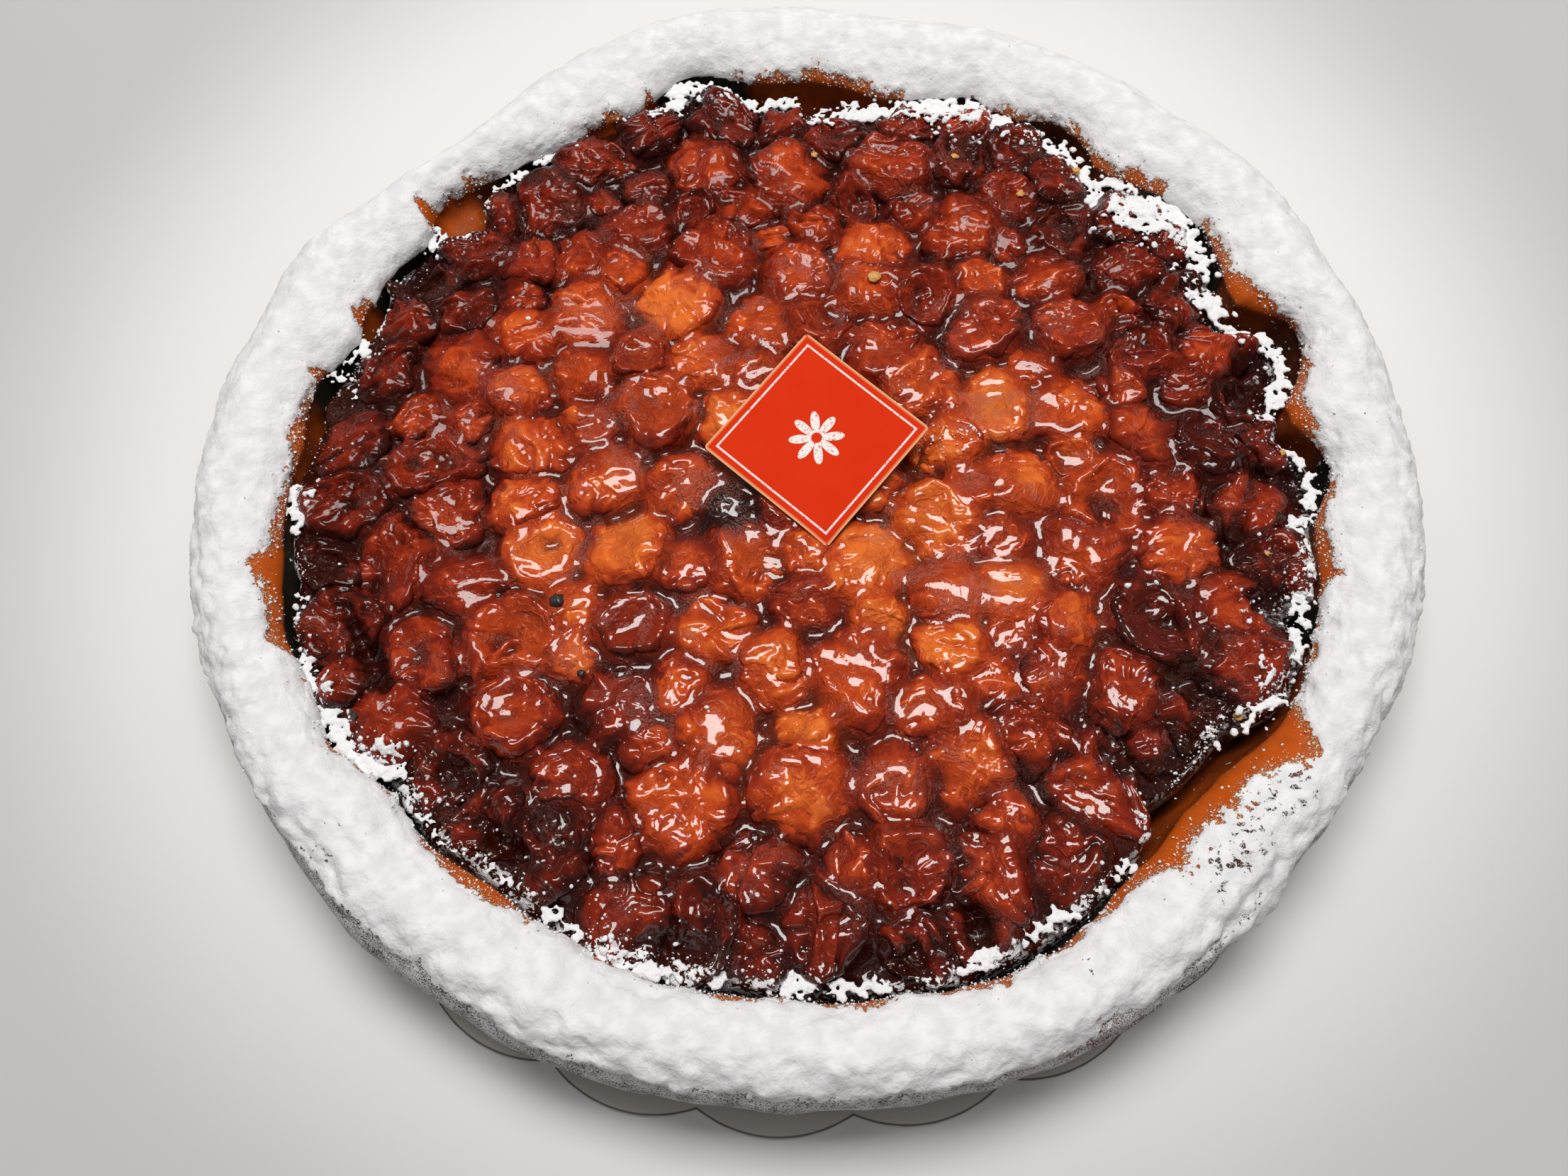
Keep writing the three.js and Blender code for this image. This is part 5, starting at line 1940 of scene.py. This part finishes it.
# ---- label and crumbs ----
@dataclass
class LabelCard:
    """The square label card, tilted on the fruit, with a worn near corner."""

    cells: int = 48
    corner: float = 0.8
    bend: float = 0.35
    dog_ear: float = 0.9  # how far the near corner is bent down

    def build(self) -> Piece:
        """Makes the card with its thickness."""
        deselect_all()
        bpy.ops.mesh.primitive_grid_add(
            x_subdivisions=self.cells, y_subdivisions=self.cells, size=LABEL_SIDE * MM,
            calc_uvs=True,
        )
        piece = added("label")
        piece.data.uv_layers[0].name = "face"
        points = points_of(piece)
        half = LABEL_SIDE / 2
        flat = half - self.corner
        over = np.maximum(np.abs(points[:, :2]) - flat, 0)
        length = np.hypot(*over.T)
        shrink = np.where(length > self.corner, self.corner / np.maximum(length, 1e-9), 1)
        rounded = np.sign(points[:, :2]) * (flat + over * shrink[:, None])
        corner = (over > 0).all(axis=1)
        points[corner, :2] = rounded[corner]
        x, y = points[:, 0] / half, points[:, 1] / half
        near = ease(1.45, 2.0, -x - y)
        bow = self.bend * (x * x + 0.6 * y * y - 0.6) * 0.5
        points[:, 2] = bow - self.dog_ear * near**2
        move_points(piece, points)
        apply_modifier(piece, "SOLIDIFY", thickness=LABEL_THICKNESS * MM, offset=-1)
        flank = np.abs(points_of(piece)[:, :2]).max(axis=1) > half - 0.02
        paint_points(piece, "edge", 0.85 * flank)
        turn = (
            Matrix.Translation(Vector(LABEL_MIDDLE) * MM)
            @ Matrix.Rotation(math.radians(LABEL_TILT), 4, "X")
            @ Matrix.Rotation(math.radians(LABEL_TURN), 4, "Z")
            @ Matrix.Translation((0, 0, LABEL_THICKNESS * MM))
        )
        piece.data.transform(turn)
        select_only(piece)
        bpy.ops.object.shade_smooth_by_angle(angle=math.radians(40))
        return piece


@dataclass
class Scraps:
    """Crumbs and flakes that fell on the pie."""

    relief: Relief
    golden: Stations = (  # x, y, size
        (21.5, 43, 3.2), (10, 83, 1.6), (60, 66, 2.0), (86.5, -70, 1.9), (99, -35.5, 1.2),
        (45.5, 80, 1.8), (108, -11, 1.3), (75, 73, 2.2),
    )
    black: Stations = ((-54, -35, 3.4), (-49, -52, 1.6), (77, -92, 1.6), (-96, -58, 1.2))
    unevenness: float = 0.45

    def build(self, name: str, rows: Stations, flat: float) -> Piece:
        """Makes one kind of scrap.

        Args:
            name: name of the piece.
            rows: where the scraps lie and their sizes.
            flat: their thickness as a share of their width.

        Returns:
            The piece.
        """
        scraps = []
        height = self.relief.blurred(np.maximum(self.relief.height, 22), 0.8)
        for index, (x, y, size) in enumerate(rows):
            scrap = ball("scrap", size / 2, 3)
            points = points_of(scrap)
            lumps = Grain(60 + index).at(points, size * 0.45)
            points *= 1 + self.unevenness * lumps[:, None]
            points[:, 2] *= flat
            ground = float(self.relief.read(height, np.array([[x, y, 0.0]]))[0])
            points += (x, y, ground + 0.3)
            move_points(scrap, points)
            scraps.append(scrap)
        piece = joined(scraps, name)
        bpy.ops.object.shade_smooth()
        return piece


# ---- studio ----
@dataclass(frozen=True)
class Panel:
    """One panel of light that faces the pie, in metres and watts."""

    name: str
    place: Triple
    size: Pair
    power: float
    colour: Triple
    mirrored: bool = True  # by glossy surfaces


@dataclass
class Studio:
    """Pale table, soft lights and the camera."""

    floor_size: float = 6.0
    floor_z: float = -0.05
    panels: tuple[Panel, ...] = (
        Panel("panel", (0.03, 0.28, 1.15), (0.76, 0.38), 11.6, (1, 0.985, 0.96)),
        Panel("ceiling", (0.0, 0.15, 1.5), (2.2, 1.8), 7.8, (0.97, 0.985, 1), mirrored=False),
    )
    room_colour: Colour = rgb(1, 0.98, 0.95)
    room_strength: float = 0.09
    focal_length: float = 28.09
    sensor: float = 36.0
    eye: Triple = (-5.257, -140.872, 267.588)
    right: Triple = (0.99759, -0.06359, -0.02774)
    up: Triple = (0.06938, 0.91434, 0.39896)
    forward: Triple = (0.0, 0.39992, -0.91655)

    def add_table(self) -> None:
        """Adds the table under the pie."""
        deselect_all()
        bpy.ops.mesh.primitive_grid_add(
            x_subdivisions=12, y_subdivisions=12, size=self.floor_size,
            location=(0, 0, self.floor_z * MM),
        )
        floor = added("table")
        floor.data.transform(floor.matrix_world)
        floor.matrix_world = Matrix.Identity(4)
        floor.data.materials.append(Tabletop().material())

    def add_light(self, panel: Panel) -> None:
        """Adds one panel of light."""
        lamp = bpy.data.lights.new(panel.name, "AREA")
        lamp.shape = "RECTANGLE"
        lamp.size, lamp.size_y = panel.size
        lamp.energy = panel.power
        lamp.color = panel.colour
        holder = bpy.data.objects.new(panel.name, lamp)
        bpy.context.scene.collection.objects.link(holder)
        holder.location = panel.place
        holder.rotation_euler = (-Vector(panel.place)).to_track_quat("-Z", "Y").to_euler()
        holder.visible_glossy = panel.mirrored

    def add_camera(self) -> None:
        """Adds the camera and sets how the colours are shown."""
        scene = bpy.context.scene
        scene.view_settings.view_transform = "Standard"
        camera = bpy.data.cameras.new("camera")
        camera.sensor_fit = "HORIZONTAL"
        camera.sensor_width = self.sensor
        camera.lens = self.focal_length
        camera.clip_start = 0.01
        holder = bpy.data.objects.new("camera", camera)
        scene.collection.objects.link(holder)
        axes = Matrix((self.right, self.up, -Vector(self.forward))).transposed().to_4x4()
        holder.matrix_world = Matrix.Translation(Vector(self.eye) * MM) @ axes
        scene.camera = holder

    def build(self) -> None:
        """Makes the table, the lights, the surroundings and the camera."""
        self.add_table()
        for panel in self.panels:
            self.add_light(panel)
        world = bpy.data.worlds.new("room")
        world.use_nodes = True
        light = world.node_tree.nodes["Background"].inputs
        light["Color"].default_value = self.room_colour
        light["Strength"].default_value = self.room_strength
        bpy.context.scene.world = world
        self.add_camera()


def main() -> None:
    """Builds the pie piece by piece around the loaded model."""
    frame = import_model()
    Studio().build()
    cake_card = frame["nodes"]["cake_card"]
    cake_card.data.materials.clear()
    cake_card.data.materials.append(CakeCardboard().material())
    crust = Crust().build()
    settle_piece(crust, "sugared_pastry", SugaredPastry().material(), "crust")
    relief = Relief()
    skin = CherrySkin().material()
    heap = CherryHeap().build()
    for cherries in heap:
        relief.press(cherries)
    for cherries in heap:
        relief.darken(cherries)
        dried = cherries.name == f"cherries_{Form.DRIED.value}"
        finish = DRIED_CHERRY.material() if dried else skin
        settle_piece(cherries, "cherries", finish, "cherry_filling")
    settle_piece(Juice(relief).build(), "cherries", SetJuice().material(), "cherry_filling")
    sugar = LooseSugar().material()
    settle_piece(SugarDrifts(relief).build(), "sugared_pastry", sugar)
    for grains in SugarGrains(relief, crust).build():
        settle_piece(grains, "sugared_pastry", sugar)
    settle_piece(LabelCard().build(), "red_card", PrintedCard().material(), "label_card")
    scraps = Scraps(relief)
    flakes = scraps.build("golden_crumbs", scraps.golden, 0.45)
    settle_piece(flakes, "sugared_pastry", GOLDEN_CRUMB.material())
    burnt = scraps.build("burnt_bits", scraps.black, 0.7)
    settle_piece(burnt, "cherries", BURNT_BIT.material())


if __name__ == "__main__":
    logging.basicConfig(level=logging.INFO, format="%(message)s")
    main()
